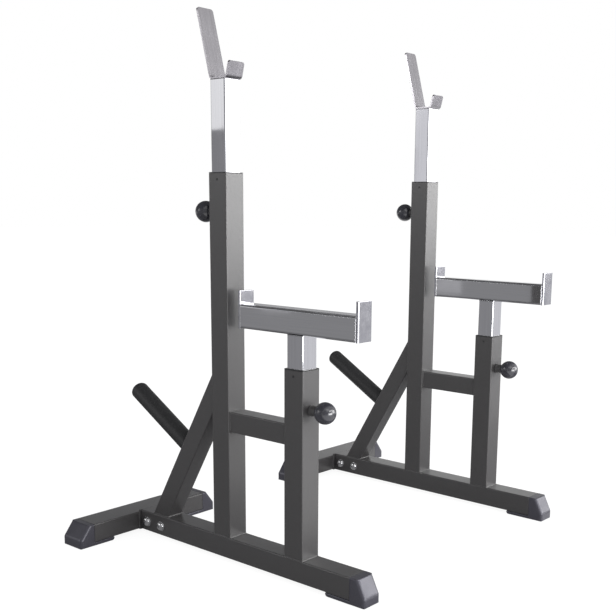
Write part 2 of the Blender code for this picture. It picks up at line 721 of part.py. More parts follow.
def collar_profile():
    """Half outline of the collar that houses the spring: a ring round the stem."""
    return [
        (COLLAR_CHAMBER_RADIUS, GAP),
        (COLLAR_FLARE_RADIUS, GAP),
        (COLLAR_FLARE_RADIUS, COLLAR_FLARE_LENGTH),
        (COLLAR_RADIUS, COLLAR_FLARE_LENGTH + COLLAR_CHAMFER),
        (COLLAR_RADIUS, COLLAR_LENGTH - COLLAR_CHAMFER),
        (COLLAR_RADIUS - COLLAR_CHAMFER, COLLAR_LENGTH),
        (COLLAR_BORE_RADIUS, COLLAR_LENGTH),
        (COLLAR_BORE_RADIUS, COLLAR_CHAMBER_END),
        (COLLAR_CHAMBER_RADIUS, COLLAR_CHAMBER_END),
    ]


def knob_profile():
    """Half outline of the ball knob, with a short neck and a blind hole for the stem."""
    start = -math.acos((KNOB_NECK_RADIUS + KNOB_NECK_FLARE) / KNOB_RADIUS)
    ball = arc((0, KNOB_MIDDLE), KNOB_RADIUS, start, math.pi / 2, KNOB_STEPS)
    ball[-1] = (0, KNOB_MIDDLE + KNOB_RADIUS)
    bore_wall = [(0, KNOB_BORE_END), (KNOB_BORE_RADIUS, KNOB_BORE_END)]
    back = [(KNOB_BORE_RADIUS, KNOB_BACK), (KNOB_NECK_RADIUS, KNOB_BACK)]
    return [*bore_wall, *back, *ball]


def spring_centre(turn):
    """Point on the centre line of the spring's wire after a number of turns."""
    angle = 2 * math.pi * turn
    low, high = SPRING_SPAN
    height = low + (high - low) * turn / SPRING_TURNS
    return Vector((SPRING_RADIUS * math.cos(angle), SPRING_RADIUS * math.sin(angle), height))


def spring_mesh(name):
    """Compression spring as one round wire wound along Z."""
    count = round(SPRING_TURNS * SPRING_STEPS_PER_TURN)
    turns = [SPRING_TURNS * i / count for i in range(count + 1)]
    loops = []
    for turn in turns:
        centre = spring_centre(turn)
        outward = Vector((centre.x, centre.y, 0)).normalized()
        wire = arc((0, 0), SPRING_WIRE_RADIUS, 0, 2 * math.pi, SPRING_WIRE_STEPS)[:-1]
        loops.append([centre + outward * u + Vector((0, 0, v)) for u, v in wire])
    return lofted_mesh(name, loops, smooth=True)


def least_spring_gap():
    """Smallest clear distance between neighbouring turns of the spring."""
    steps = round(SPRING_TURNS * SPRING_STEPS_PER_TURN)
    points = [spring_centre(SPRING_TURNS * i / steps) for i in range(steps + 1)]
    far = SPRING_STEPS_PER_TURN // 2
    apart = [
        (points[i] - points[j]).length
        for i in range(len(points))
        for j in range(i + far, len(points))
    ]
    return min(apart) - 2 * SPRING_WIRE_RADIUS


def add_pull_pin(prefix, stand, face_y, pin_z, rotation):
    """Pull pin on the face of a tube: fixed collar and spring, and the pin with its knob."""
    seat = (0, face_y, pin_z)
    collar_name, spring_name = prefix + "_pin_collar", prefix + "_pin_spring"
    collar = turned_mesh(collar_name, collar_profile(), closed=True, steps=PIN_STEPS)
    piece(collar_name, collar, "frame_paint", stand, seat, rotation)
    piece(spring_name, spring_mesh(spring_name), "zinc", stand, seat, rotation)
    mover = empty(prefix + "_pin_mover", stand, seat)
    pin_name, knob_name = prefix + "_pull_pin", prefix + "_pin_knob"
    pin = turned_mesh(pin_name, pin_profile(), steps=PIN_STEPS)
    piece(pin_name, pin, "zinc", mover, rotation=rotation)
    knob = turned_mesh(knob_name, knob_profile())
    piece(knob_name, knob, "gloss_plastic", mover, rotation=rotation)


def build_stand(side, stand_x, safety_raise):
    """All pieces of one stand; its safety post may stand a number of holes higher."""
    stand = empty(side + "_stand", None, (stand_x, UPRIGHT_Y, 0))
    add_base_rail(side, stand)
    add_cross_rail(side, stand)
    add_joint_spigot(side, stand)
    add_joint_bolts(side, stand)
    add_foot_caps(side, stand)
    add_link_tube(side, stand)
    add_brace_tube(side, stand)
    add_plate_peg(side, stand)

    upright_face = TUBE_HALF
    add_outer_tube(
        side + "_upright_tube", stand, 0, UPRIGHT_TOP, BAR_PIN_Z, TOWARDS_REAR, upright_face
    )
    add_bush(side + "_upright_bush", stand, 0, UPRIGHT_TOP)
    add_pull_pin(side + "_bar", stand, upright_face, BAR_PIN_Z, TOWARDS_REAR)
    bar_carrier = empty(side + "_bar_carrier", stand)
    add_sliding_post(
        side + "_bar_post", bar_carrier, BAR_POST_TOP, BAR_POST_LENGTH, BAR_PIN_Z,
        TOWARDS_REAR, BAR_HOLES_ABOVE_PIN, BAR_HOLES_BELOW_PIN,
    )
    add_bar_hook(side, bar_carrier)

    safety_face = SAFETY_TUBE_Y - TUBE_HALF
    add_outer_tube(
        side + "_safety_tube", stand, SAFETY_TUBE_Y, SAFETY_TUBE_TOP, SAFETY_PIN_Z,
        TOWARDS_FRONT, safety_face,
    )
    add_bush(side + "_safety_bush", stand, SAFETY_TUBE_Y, SAFETY_TUBE_TOP)
    add_pull_pin(side + "_safety", stand, safety_face, SAFETY_PIN_Z, TOWARDS_FRONT)
    safety_carrier = empty(side + "_safety_carrier", stand, (0, SAFETY_TUBE_Y, safety_raise))
    add_sliding_post(
        side + "_safety_post", safety_carrier, SAFETY_POST_TOP, SAFETY_POST_LENGTH, SAFETY_PIN_Z,
        TOWARDS_FRONT, SAFETY_HOLES_ABOVE_PIN, SAFETY_HOLES_BELOW_PIN,
    )
    add_safety_beam(side, safety_carrier)


clear_scene()
build_stand("left", PAIR_MIDDLE_X - STAND_SPACING / 2, 0)
build_stand("right", PAIR_MIDDLE_X + STAND_SPACING / 2, RIGHT_SAFETY_RAISE)
print(f"least gap between spring turns: {least_spring_gap() * 1000:.2f} mm")
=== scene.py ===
"""Looks of a pair of free-standing squat stands: fine meshes, finishes, camera and light.

Everything is in metres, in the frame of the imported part. A visible piece takes its place and size
from the box of the node that it stands for, and rides on that node's body.
"""

import json
import math

import bmesh
import bpy
from mathutils import Matrix, Vector


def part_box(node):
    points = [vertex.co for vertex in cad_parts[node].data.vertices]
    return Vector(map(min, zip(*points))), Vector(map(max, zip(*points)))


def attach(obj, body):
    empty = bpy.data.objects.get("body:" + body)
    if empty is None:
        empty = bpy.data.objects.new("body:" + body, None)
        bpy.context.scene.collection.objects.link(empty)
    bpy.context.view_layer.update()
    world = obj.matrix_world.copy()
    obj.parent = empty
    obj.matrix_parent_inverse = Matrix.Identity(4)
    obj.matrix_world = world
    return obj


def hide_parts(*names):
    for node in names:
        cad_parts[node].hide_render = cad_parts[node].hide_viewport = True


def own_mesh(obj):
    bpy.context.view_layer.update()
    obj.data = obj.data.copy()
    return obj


SIDES = ("left", "right")

# Steel tubes
TUBE_WALL = 0.0025
TUBE_CORNER = 0.003
POST_WALL = 0.002
POST_CORNER = 0.003
BEAM_WALL = 0.003
BEAM_CORNER = 0.007
MOUTH_SOFTENING = 0.0004
BRACE_ANGLE = math.radians(59.6)
BRACE_WIDTH = 0.050
BRACE_DEPTH = 0.052
HOLE_PITCH = 0.025
HOLE_RADIUS = 0.0055
PIN_HOLE_RADIUS = 0.0053
STUD_HOLE_RADIUS = 0.0033
BOLT_HOLE_RADIUS = 0.0053
DRILL_LENGTH = 0.02

# Plate peg
PEG_RADIUS = 0.0242
PEG_WALL = 0.0025
PEG_DOME = 0.017
PEG_LENGTH = 0.255

# Bush in the mouth of an outer tube
BUSH_FLANGE = 0.002
BUSH_SOFTENING = 0.0006
BUSH_SLEEVE_CORNER = 0.001
STUD_DROP = 0.017
STUD_RADIUS = 0.003
STUD_PROUD = 0.0006

# Foot caps: length of the flat top and height of the nose, in front and behind
CAP_FLAT_TOP = {"front": 0.024, "rear": 0.018}
CAP_NOSE_HEIGHT = {"front": 0.0225, "rear": 0.0235}
CAP_LENGTH = 0.046
CAP_CORNER = 0.0090
CAP_CORNER_SHARES = {"nose": 1.0, "chin": 0.60, "top": 0.28, "foot": 0.30, "seam": 0.16}
CAP_STRIP_HEIGHT = 0.0097
CAP_STRIP_ROUND = 0.007
CAP_STRIP_EDGE = 0.0022
CAP_STRIP_LAP = 0.004
CAP_PLUG_LENGTH = 0.030
CAP_PLUG_INSET = 0.003
CAP_PLUG_RIBS = 5
CAP_RIB_HEIGHT = 0.001
CAP_RIB_CREST = (0.001, 0.003)
CAP_RIB_END = 0.004

# Gap between pieces that touch in the real object
GAP = 0.0003

# Share of a small rounding at which its two flats meet
ROUNDING_SHARE = 0.3

# Bar hook
HOOK_THICKNESS = 0.005
HOOK_LEAN = math.radians(15)
HOOK_BEND_RADIUS = 0.0060
HOOK_ARM_CORNER = 0.007
HOOK_LIP_CORNER = 0.006
HOOK_FLOOR_FRONT = -0.028
HOOK_FLOOR_REAR = 0.023
HOOK_LIP_HEIGHT = 0.0385
HOOK_EDGE = 0.0013

# Rounded edges of the joint plates and of the beams' stop plates
JOINT_PLATE_EDGE = 0.0020
PLATE_CORNER = 0.0035
PLATE_EDGE = 0.0010

# Pull pins, measured outward from the face of the tube
COLLAR_RADIUS = 0.0125
COLLAR_FLARE_RADIUS = 0.0135
COLLAR_FLARE_LENGTH = 0.0050
COLLAR_FLARE_EDGE = 0.0004
COLLAR_NARROWS_AT = 0.0058
COLLAR_LENGTH = 0.020
COLLAR_CHAMFER = 0.0008
COLLAR_BORE = 0.0043
CHAMBER_RADIUS = 0.0075
CHAMBER_END = 0.0172
SPRING_RADIUS = 0.0058
SPRING_WIRE = 0.0006
SPRING_START = 0.0041
SPRING_END = 0.0161
SPRING_TURNS = 4.5
KNOB_RADIUS = 0.0265
KNOB_MIDDLE = 0.0440
KNOB_BACK = 0.0210
KNOB_NECK = 0.0132
KNOB_NECK_FLARE = 0.0015
KNOB_CHAMFER = 0.0008
KNOB_RECESS = 0.001
KNOB_RECESS_SLOPE = 0.0006
STEM_RADIUS = 0.004

# Joint bolts
BOLT_FLANGE_RADIUS = 0.0136
BOLT_FLANGE_HEIGHT = 0.0018
BOLT_HEAD_RADIUS = 0.0120
BOLT_HEAD_HEIGHT = 0.0105
BOLT_RIM_HEIGHT = 0.0030
BOLT_SOCKET_RADIUS = 0.0036
BOLT_SOCKET_DEPTH = 0.0042
BOLT_SHANK_RADIUS = 0.005
BOLT_REACH = 0.016

# Weld beads
WELD_RADIUS = 0.0022
WELD_RIPPLE_PITCH = 0.0028
WELD_RIPPLE = 0.10
WELD_DRIFT = 0.04
WELD_DRIFT_PACE = 0.37
WELD_SPACING = 0.0007
WELD_SIDEWAYS = (0.31, 0.57, 0.76)
FOOT_WELD_GROWTH = -0.0012
PAINTED_WELD_GROWTH = -0.0002
HOOK_WELD_GROWTH = -0.0010
BEAM_WELD_GROWTH = -0.0008
PLATED_WELD_RADIUS = 0.0015
JOINT_WELD_RADIUS = 0.0030
JOINT_WELD_INSET = 0.0015

# Mesh resolution
CORNER_STEPS = 8
ROUND_STEPS = 64
HOLE_STEPS = 32
STUD_STEPS = 32
BEAD_STEPS = 10
SPRING_STEPS = 20
PEG_RING_STEPS = 96
PEG_DOME_STEPS = 16
BOLT_DOME_STEPS = 14
KNOB_STEPS = 40
HOOK_CORNER_STEPS = 12
HOOK_BEND_STEPS = 10
CAP_STRIP_STEPS = 8
CAP_BEVEL_STEPS = 5
SHARP_ANGLE = math.radians(38)
SOFTENED_ANGLE = math.radians(50)

# Camera, solved from the photograph's straight edges
CAMERA_AT = (-2.0641, -1.7196, 0.9076)
CAMERA_YAW = math.radians(39.5497)
CAMERA_PITCH = math.radians(-11.0356)
CAMERA_ROLL = math.radians(0.7505)
PHOTO_SIZE = 616
FOCAL_PIXELS = 954.5911
CENTRE_PIXEL = (349.4659, 392.6410)
SENSOR = 36.0

# World: level and tint of its light
WORLD_LEVEL = 0.7
WORLD_TINT = (0.98, 0.99, 1.0)

# Floor: share of the shadow that shows, and glow that brings the rest to white
FLOOR_SHADOW = 0.18
FLOOR_GLOW = 1.12
FLOOR_GREY = 0.92
FLOOR_REACH = 30.0

# Glowing cards that only polished faces pick up, as painted reflections: a corner, two sides and a grey
CARDS = {
    "left_card_near": ((-2.6, -0.6, 0.0), (0, 2.62, 0), (0, 0, 1.9), 0.30),
    "left_card_low": ((-2.6, 2.02, 0.0), (0, 0.22, 0), (0, 0, 0.75), 0.30),
    "left_card_pale": ((-2.6, 2.02, 0.75), (0, 0.22, 0), (0, 0, 1.25), 0.80),
    "left_card_far": ((-2.6, 2.24, 0.0), (0, 3.0, 0), (0, 0, 1.32), 0.27),
    "front_floor_reflection": ((0.9, -4.95, 0.0004), (9.5, 0, 0), (0, 3.9, 0), 0.75),
    "right_floor_reflection": ((0.52, -1.04, 0.0006), (1.2, 0, 0), (0, 1.30, 0), 0.32),
    "front_low_reflection": ((0.9, -4.9, 0.0), (9.5, 0, 0), (0, 0, 0.36), 0.75),
    "beam_card": ((-2.59, 1.80, 0.34), (0, 0.22, 0), (0, 0, 0.12), 0.50),
    "rear_dark_reflection": ((-7.0, 9.0, 1.4), (5.4, 0, 0), (0, 0, 5.0), 0.10),
    "left_floor_reflection": ((-2.6, -0.5, 0.0004), (2.98, 0, 0), (0, 5.5, 0), 0.20),
    "rear_card": ((9.1, 7.3, 0.3), (-11.1, 4.7, 0), (0, 0, 2.0), 0.40),
    "rear_card_high": ((7.4, 8.0, 2.3), (-9.4, 4.0, 0), (0, 0, 3.0), 0.40),
    "overhead_reflection": ((-8.0, -1.3, 4.0), (17.0, 0, 0), (0, 11.3, 0), 0.12),
    "camera_side_reflection": ((-3.4, -0.9, 0.0), (2.7, -3.5, 0), (0, 0, 2.8), 0.42),
}
# Blue share of the cards' glow, tinting the painted reflections
CARD_BLUE = 1.03

# Lamps: place, target, width and height, power
LAMPS = {
    "key": ((5.9, -5.0, 1.9), (5.9, 0.0, 1.9), (6.8, 3.36), 415),
    "fill": ((-0.9, -2.2, 2.2), (0.4, 0.0, 0.6), (1.4, 1.4), 6),
    "low_window": ((0.0, -3.3, 0.45), (0.0, -0.2, 0.4), (2.4, 0.8), 62),
    "high_window": ((0.7, -5.0, 2.9), (0.0, -0.3, 0.5), (3.0, 0.9), 51),
    "far_left_window": ((-9.4, 6.9, 3.8), (0.0, 0.0, 0.9), (2.4, 2.2), 200),
}

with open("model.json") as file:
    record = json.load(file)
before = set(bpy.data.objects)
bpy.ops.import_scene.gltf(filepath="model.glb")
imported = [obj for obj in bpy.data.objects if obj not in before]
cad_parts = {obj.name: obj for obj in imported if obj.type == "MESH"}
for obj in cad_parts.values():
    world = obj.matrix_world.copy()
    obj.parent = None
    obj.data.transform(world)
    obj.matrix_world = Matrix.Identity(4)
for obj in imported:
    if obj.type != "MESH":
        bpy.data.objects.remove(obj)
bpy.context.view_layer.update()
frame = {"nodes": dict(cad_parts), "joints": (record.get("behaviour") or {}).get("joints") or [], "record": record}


# Node helpers for the finishes


def new_finish(name):
    """Empty finish: its material, node tree and shader."""
    material = bpy.data.materials.new(name)
    material.use_nodes = True
    tree = material.node_tree
    return material, tree, tree.nodes["Principled BSDF"]


def surface_place(tree, stretch=(1, 1, 1)):
    """Place on the piece in metres, stretched where a grain runs along one axis."""
    place = tree.nodes.new("ShaderNodeTexCoord")
    mapping = tree.nodes.new("ShaderNodeMapping")
    mapping.inputs["Scale"].default_value = stretch
    tree.links.new(place.outputs["Object"], mapping.inputs["Vector"])
    return mapping.outputs["Vector"]


def noise(tree, place, scale, detail):
    """Smooth noise with about scale bumps a metre."""
    node = tree.nodes.new("ShaderNodeTexNoise")
    node.inputs["Scale"].default_value = scale
    node.inputs["Detail"].default_value = detail
    tree.links.new(place, node.inputs["Vector"])
    return node.outputs["Fac"]


def colours(tree, factor, stops):
    """Colour that follows a factor through (position, colour) stops."""
    node = tree.nodes.new("ShaderNodeValToRGB")
    band = node.color_ramp
    while len(band.elements) < len(stops):
        band.elements.new(0.5)
    for element, (position, colour) in zip(band.elements, stops):
        element.position = position
        element.color = (*colour, 1.0)
    tree.links.new(factor, node.inputs["Fac"])
    return node.outputs["Color"]


def spread(tree, factor, low, high):
    """Number from low to high that follows a factor."""
    node = tree.nodes.new("ShaderNodeMapRange")
    node.inputs["From Min"].default_value = 0.3
    node.inputs["From Max"].default_value = 0.7
    node.inputs["To Min"].default_value = low
    node.inputs["To Max"].default_value = high
    tree.links.new(factor, node.inputs["Value"])
    return node.outputs["Result"]


def raise_bumps(tree, shader, layers):
    """Stack (height, strength, distance) layers into the shader's normal."""
    coated = shader.inputs["Coat Weight"].default_value > 0
    normal = None
    for height, strength, distance in layers:
        node = tree.nodes.new("ShaderNodeBump")
        node.inputs["Strength"].default_value = strength
        node.inputs["Distance"].default_value = distance
        tree.links.new(height, node.inputs["Height"])
        if normal is not None:
            tree.links.new(normal, node.inputs["Normal"])
        normal = node.outputs["Normal"]
    tree.links.new(normal, shader.inputs["Normal"])
    if coated:
        tree.links.new(normal, shader.inputs["Coat Normal"])


# Finishes


def frame_paint():
    """Anthracite powder coat with a fine orange peel under a satin clear coat."""
    material, tree, shader = new_finish("frame_paint")
    place = surface_place(tree)
    shader.inputs["Specular IOR Level"].default_value = 0.30
    shader.inputs["Coat Weight"].default_value = 1.0
    shader.inputs["Coat Roughness"].default_value = 0.28
    grain = noise(tree, place, scale=900, detail=3)
    stops = [(0.35, (0.036, 0.034, 0.035)), (0.65, (0.051, 0.049, 0.050))]
    tree.links.new(colours(tree, grain, stops), shader.inputs["Base Color"])
    cloud = noise(tree, place, scale=22, detail=2)
    tree.links.new(spread(tree, cloud, 0.47, 0.53), shader.inputs["Roughness"])
    peel = noise(tree, place, scale=330, detail=2)
    raise_bumps(tree, shader, [(peel, 0.10, 0.0005), (grain, 0.08, 0.0002)])
    return material


def textured_paint():
    """Fine-grained black coat of the plate pegs, with pale specks on its high spots."""
    material, tree, shader = new_finish("textured_paint")
    place = surface_place(tree)
    grain = noise(tree, place, scale=520, detail=4)
    stops = [(0.40, (0.010, 0.010, 0.011)), (0.58, (0.018, 0.018, 0.019)),
             (0.70, (0.048, 0.048, 0.050))]
    tree.links.new(colours(tree, grain, stops), shader.inputs["Base Color"])
    tree.links.new(spread(tree, grain, 0.50, 0.68), shader.inputs["Roughness"])
    fine = noise(tree, place, scale=1500, detail=2)
    raise_bumps(tree, shader, [(grain, 0.45, 0.0006), (fine, 0.20, 0.0002)])
    return material


def plated(name, tones, shine, grain_stretch, ripple):
    """Plated steel whose faint grain runs along one axis."""
    material, tree, shader = new_finish(name)
    shader.inputs["Metallic"].default_value = 1.0
    grain = noise(tree, surface_place(tree, grain_stretch), scale=1.0, detail=3)
    cloud = noise(tree, surface_place(tree), scale=14, detail=2)
    stops = [(0.35, tones[0]), (0.65, tones[1])]
    tree.links.new(colours(tree, grain, stops), shader.inputs["Base Color"])
    tree.links.new(spread(tree, cloud, *shine), shader.inputs["Roughness"])
    raise_bumps(tree, shader, [(cloud, ripple, 0.0010), (grain, ripple, 0.0001)])
    return material


def chrome():
    """Polished chrome of the sliding posts, drawn along their height."""
    tones = (0.66, 0.66, 0.69), (0.72, 0.72, 0.75)
    return plated("chrome", tones, (0.04, 0.07), (420, 420, 5), 0.04)


def beam_chrome():
    """Chrome of the safety beams, drawn along their length."""
    tones = (0.65, 0.65, 0.67), (0.68, 0.68, 0.70)
    return plated("beam_chrome", tones, (0.04, 0.08), (420, 5, 420), 0.02)


def plate_chrome():
    """Chrome of the beams' stop plates, a little rougher than the other chromes and darker in tone; the darker
    tone is painted shade that dims their reflections.
    """
    tones = (0.44, 0.44, 0.475), (0.54, 0.54, 0.57)
    return plated("plate_chrome", tones, (0.05, 0.10), (60, 60, 60), 0.03)


def satin_steel():
    """Satin plating of the bar hooks, brushed along the bent bar."""
    tones = (0.29, 0.28, 0.30), (0.37, 0.36, 0.38)
    return plated("satin_steel", tones, (0.20, 0.27), (900, 8, 8), 0.08)


def zinc():
    """Bright zinc of bolts, pins and springs."""
    tones = (0.70, 0.70, 0.71), (0.82, 0.82, 0.83)
    return plated("zinc", tones, (0.18, 0.28), (300, 300, 300), 0.08)


def moulded(name, tones, shine, scale, strength, specular=0.5, tint=(1, 1, 1)):
    """Moulded or dipped black material with a fine surface grain."""
    material, tree, shader = new_finish(name)
    shader.inputs["Specular IOR Level"].default_value = specular
    shader.inputs["Specular Tint"].default_value = (*tint, 1.0)
    place = surface_place(tree)
    grain = noise(tree, place, scale, detail=3)
    cloud = noise(tree, place, scale=30, detail=2)
    stops = [(0.35, tones[0]), (0.65, tones[1])]
    tree.links.new(colours(tree, grain, stops), shader.inputs["Base Color"])
    tree.links.new(spread(tree, cloud, *shine), shader.inputs["Roughness"])
    raise_bumps(tree, shader, [(grain, strength, 0.0003)])
    return material


def rubber():
    """Satin rubber of the foot caps."""
    tones = (0.037, 0.036, 0.045), (0.052, 0.051, 0.062)
    return moulded("rubber", tones, (0.30, 0.38), 700, 0.10, 0.6, (0.91, 0.90, 1.0))


def plastic():
    """Matt black plastic of the bushes."""
    tones = (0.016, 0.016, 0.017), (0.026, 0.026, 0.027)
    return moulded("plastic", tones, (0.35, 0.45), 900, 0.10)


def gloss_plastic():
    """Polished black plastic of the ball knobs."""
    tones = (0.024, 0.024, 0.031), (0.033, 0.033, 0.042)
    return moulded("gloss_plastic", tones, (0.17, 0.22), 60, 0.010, 0.9)


FINISHES = {
    maker.__name__: maker()
    for maker in (frame_paint, textured_paint, chrome, beam_chrome, plate_chrome, satin_steel,
                  zinc, rubber, plastic, gloss_plastic)
}
SLOT_OF_NODE = {row["node"]: row["material_slot"] for row in frame["record"]["subparts"]}
BODY_OF_NODE = {
    node: body
    for body, nodes in frame["record"]["behaviour"]["bodies"].items()
    for node in nodes
}
TRAVEL_OF_JOINT = {joint["name"]: joint["range_m"] for joint in frame["joints"]}


# Mesh helpers


def quarter_turn(axis):
    """Rotation that lays a mesh built along Z along another axis."""
    turns = {
        "X": Matrix.Rotation(math.pi / 2, 4, "Y"),
        "Y": Matrix.Rotation(-math.pi / 2, 4, "X"),
        "-X": Matrix.Rotation(-math.pi / 2, 4, "Y"),
        "-Y": Matrix.Rotation(math.pi / 2, 4, "X"),
        "Z": Matrix.Identity(4),
    }
    return turns[axis]


def arc(centre, radius, start, end, steps):
    """Points on an arc in a plane, from one angle to another."""
    angles = [start + (end - start) * i / steps for i in range(steps + 1)]
    return [(centre[0] + radius * math.cos(a), centre[1] + radius * math.sin(a)) for a in angles]


def circle(radius, steps):
    """Points round the origin of a plane."""
    return arc((0, 0), radius, 0, 2 * math.pi, steps)[:-1]


def dome(radius, foot, rise, steps):
    """Profile of a dome, from its rim to just short of its pole."""
    angles = [math.pi / 2 * i / steps for i in range(steps)]
    return [(radius * math.cos(a), foot + rise * math.sin(a)) for a in angles]


def rounded_rectangle(width, depth, corner):
    """Outline of a rectangle with rounded corners, anticlockwise round the origin."""
    points = []
    for quarter, (side_x, side_y) in enumerate(((1, 1), (-1, 1), (-1, -1), (1, -1))):
        centre = (side_x * (width / 2 - corner), side_y * (depth / 2 - corner))
        start = quarter * math.pi / 2
        points += arc(centre, corner, start, start + math.pi / 2, CORNER_STEPS)
    return points


def at_height(points, height):
    """Outline in the XY plane lifted to a height."""
    return [(x, y, height) for x, y in points]


def skin(name, loops, ring=False):
    """Mesh through loops with the same number of points, capped or closed into a ring."""
    builder = bmesh.new()
    rows = [[builder.verts.new(point) for point in loop] for loop in loops]
    pairs = list(zip(rows, rows[1:]))
    if ring:
        pairs.append((rows[-1], rows[0]))
    else:
        builder.faces.new(rows[0])
        builder.faces.new(rows[-1])
    for row, following in pairs:
        for i in range(len(row)):
            j = (i + 1) % len(row)
            builder.faces.new((row[i], row[j], following[j], following[i]))
    return finish_mesh(name, builder)


def finish_mesh(name, builder):
    """Mesh of a bmesh, with its faces pointing out."""
    bmesh.ops.recalc_face_normals(builder, faces=builder.faces)
    mesh = bpy.data.meshes.new(name)
    builder.to_mesh(mesh)
    builder.free()
    return mesh


def turned(name, profile, steps=ROUND_STEPS):
    """Solid of revolution about Z from (radius, height) points."""
    builder = bmesh.new()
    corners = [builder.verts.new((radius, 0, height)) for radius, height in profile]
    edges = [builder.edges.new(pair) for pair in zip(corners, corners[1:])]
    if profile[0][0] > 0:
        edges.append(builder.edges.new((corners[-1], corners[0])))
    bmesh.ops.spin(builder, geom=corners + edges, cent=(0, 0, 0), axis=(0, 0, 1),
                   angle=2 * math.pi, steps=steps)
    bmesh.ops.remove_doubles(builder, verts=builder.verts, dist=1e-6)
    return finish_mesh(name, builder)


def add_piece(name, mesh, matrix, finish, body, node=None):
    """Show a mesh as a piece that rides on a body and may stand for a node."""
    mesh.transform(matrix)
    mesh.materials.append(FINISHES[finish])
    piece = bpy.data.objects.new(name, mesh)
    bpy.context.scene.collection.objects.link(piece)
    mesh.shade_smooth()
    mesh.set_sharp_from_angle(angle=SHARP_ANGLE)
    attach(piece, body)
    if node:
        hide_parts(node)
    return piece


def replace_node(node, mesh, matrix, finish=None):
    """Show a finer mesh in place of a CAD node, with its slot and body."""
    slot, body = SLOT_OF_NODE[node], BODY_OF_NODE[node]
    return add_piece(node + "_shown", mesh, matrix, finish or slot, body, node)


def steady_shading(piece):
    """Keep the flat faces of a piece evenly shaded next to its rounded edges."""
    modifier = piece.modifiers.new("flat_faces", "WEIGHTED_NORMAL")
    modifier.keep_sharp = True
    modifier.weight = 100


def drill(piece, holes):
    """Cut round holes, each a (point, axis, radius), through a piece."""
    builder = bmesh.new()
    for point, axis, radius in holes:
        bmesh.ops.create_cone(builder, cap_ends=True, segments=HOLE_STEPS, radius1=radius,
                              radius2=radius, depth=DRILL_LENGTH,
                              matrix=Matrix.Translation(point) @ quarter_turn(axis))
    cut(piece, finish_mesh(piece.name + "_cutter", builder))


def cut(piece, cutter_mesh):
    """Take a cutting solid away from a piece for good."""
    cutter = bpy.data.objects.new(piece.name + "_cutter", cutter_mesh)
    bpy.context.scene.collection.objects.link(cutter)
    modifier = piece.modifiers.new("cut", "BOOLEAN")
    modifier.solver = "EXACT"
    modifier.operation = "DIFFERENCE"
    modifier.object = cutter
    seen = piece.evaluated_get(bpy.context.evaluated_depsgraph_get())
    piece.data = bpy.data.meshes.new_from_object(seen)
    piece.modifiers.clear()
    bpy.data.objects.remove(cutter, do_unlink=True)
    piece.data.shade_smooth()
    piece.data.set_sharp_from_angle(angle=SHARP_ANGLE)


# Pieces


def middle(node):
    """Centre and size of a node's box."""
    low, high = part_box(node)
    return (low + high) / 2, high - low


def show_tube(node, axis, wall, corner, finish=None, holes=()):
    """Rectangular tube with softened mouths in place of a node."""
    centre, size = middle(node)
    across = {"X": (size.z, size.y), "Y": (size.x, size.z), "Z": (size.x, size.y)}[axis]
    half = size["XYZ".index(axis)] / 2
    outer = rounded_rectangle(*across, corner)
    soft = MOUTH_SOFTENING
    lip = rounded_rectangle(across[0] - 2 * soft, across[1] - 2 * soft, corner - soft)
    inside = max(corner - wall, soft)
    bore = rounded_rectangle(across[0] - 2 * wall, across[1] - 2 * wall, inside)
    loops = [at_height(lip, -half), at_height(outer, soft - half), at_height(outer, half - soft),
             at_height(lip, half), at_height(bore, half), at_height(bore, -half)]
    mesh = skin(node, loops, ring=True)
    tube = replace_node(node, mesh, Matrix.Translation(centre) @ quarter_turn(axis), finish)
    if holes:
        drill(tube, holes)
    steady_shading(tube)


def post_holes(side, which):
    """Adjustment holes of a sliding post, one for every height at which its pin holds it."""
    low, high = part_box(f"{side}_{which}_post")
    pin, _ = middle(f"{side}_{which}_pin_knob")
    down, up = TRAVEL_OF_JOINT[f"{side}_{which}_height"]
    above, below = round(-down / HOLE_PITCH), round(up / HOLE_PITCH)
    facing, wall_y = ("Y", high.y) if which == "bar" else ("-Y", low.y)
    x = (low.x + high.x) / 2
    return [((x, wall_y, pin.z + row * HOLE_PITCH), facing, HOLE_RADIUS)
            for row in range(-below, above + 1)]


def show_brace(side):
    """Diagonal tube, mitred to the base rail and to the back of the upright."""
    node = side + "_brace_tube"
    low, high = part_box(node)
    along = Vector((0, -math.cos(BRACE_ANGLE), math.sin(BRACE_ANGLE)))
    outward = Vector((0, math.sin(BRACE_ANGLE), math.cos(BRACE_ANGLE)))
    centre_x = (low.x + high.x) / 2
    rear_foot = Vector((centre_x, high.y, low.z))
    axis_foot = rear_foot - Vector((0, BRACE_DEPTH / 2 / math.sin(BRACE_ANGLE), 0))

    def mitre(points, axis, level):
        """Where the long edges meet the plane in which one coordinate is level."""
        found = []
        for u, v in points:
            start = axis_foot + Vector((u, 0, 0)) + outward * v
            found.append(start + along * ((level - start[axis]) / along[axis]))
        return found

    inside = 2 * TUBE_WALL
    outer = rounded_rectangle(BRACE_WIDTH, BRACE_DEPTH, TUBE_CORNER)
    bore = rounded_rectangle(BRACE_WIDTH - inside, BRACE_DEPTH - inside, MOUTH_SOFTENING)
    loops = [mitre(outer, 2, low.z), mitre(outer, 1, low.y), mitre(bore, 1, low.y),
             mitre(bore, 2, low.z)]
    steady_shading(replace_node(node, skin(node, loops, ring=True), Matrix.Identity(4)))
    return axis_foot, along, outward


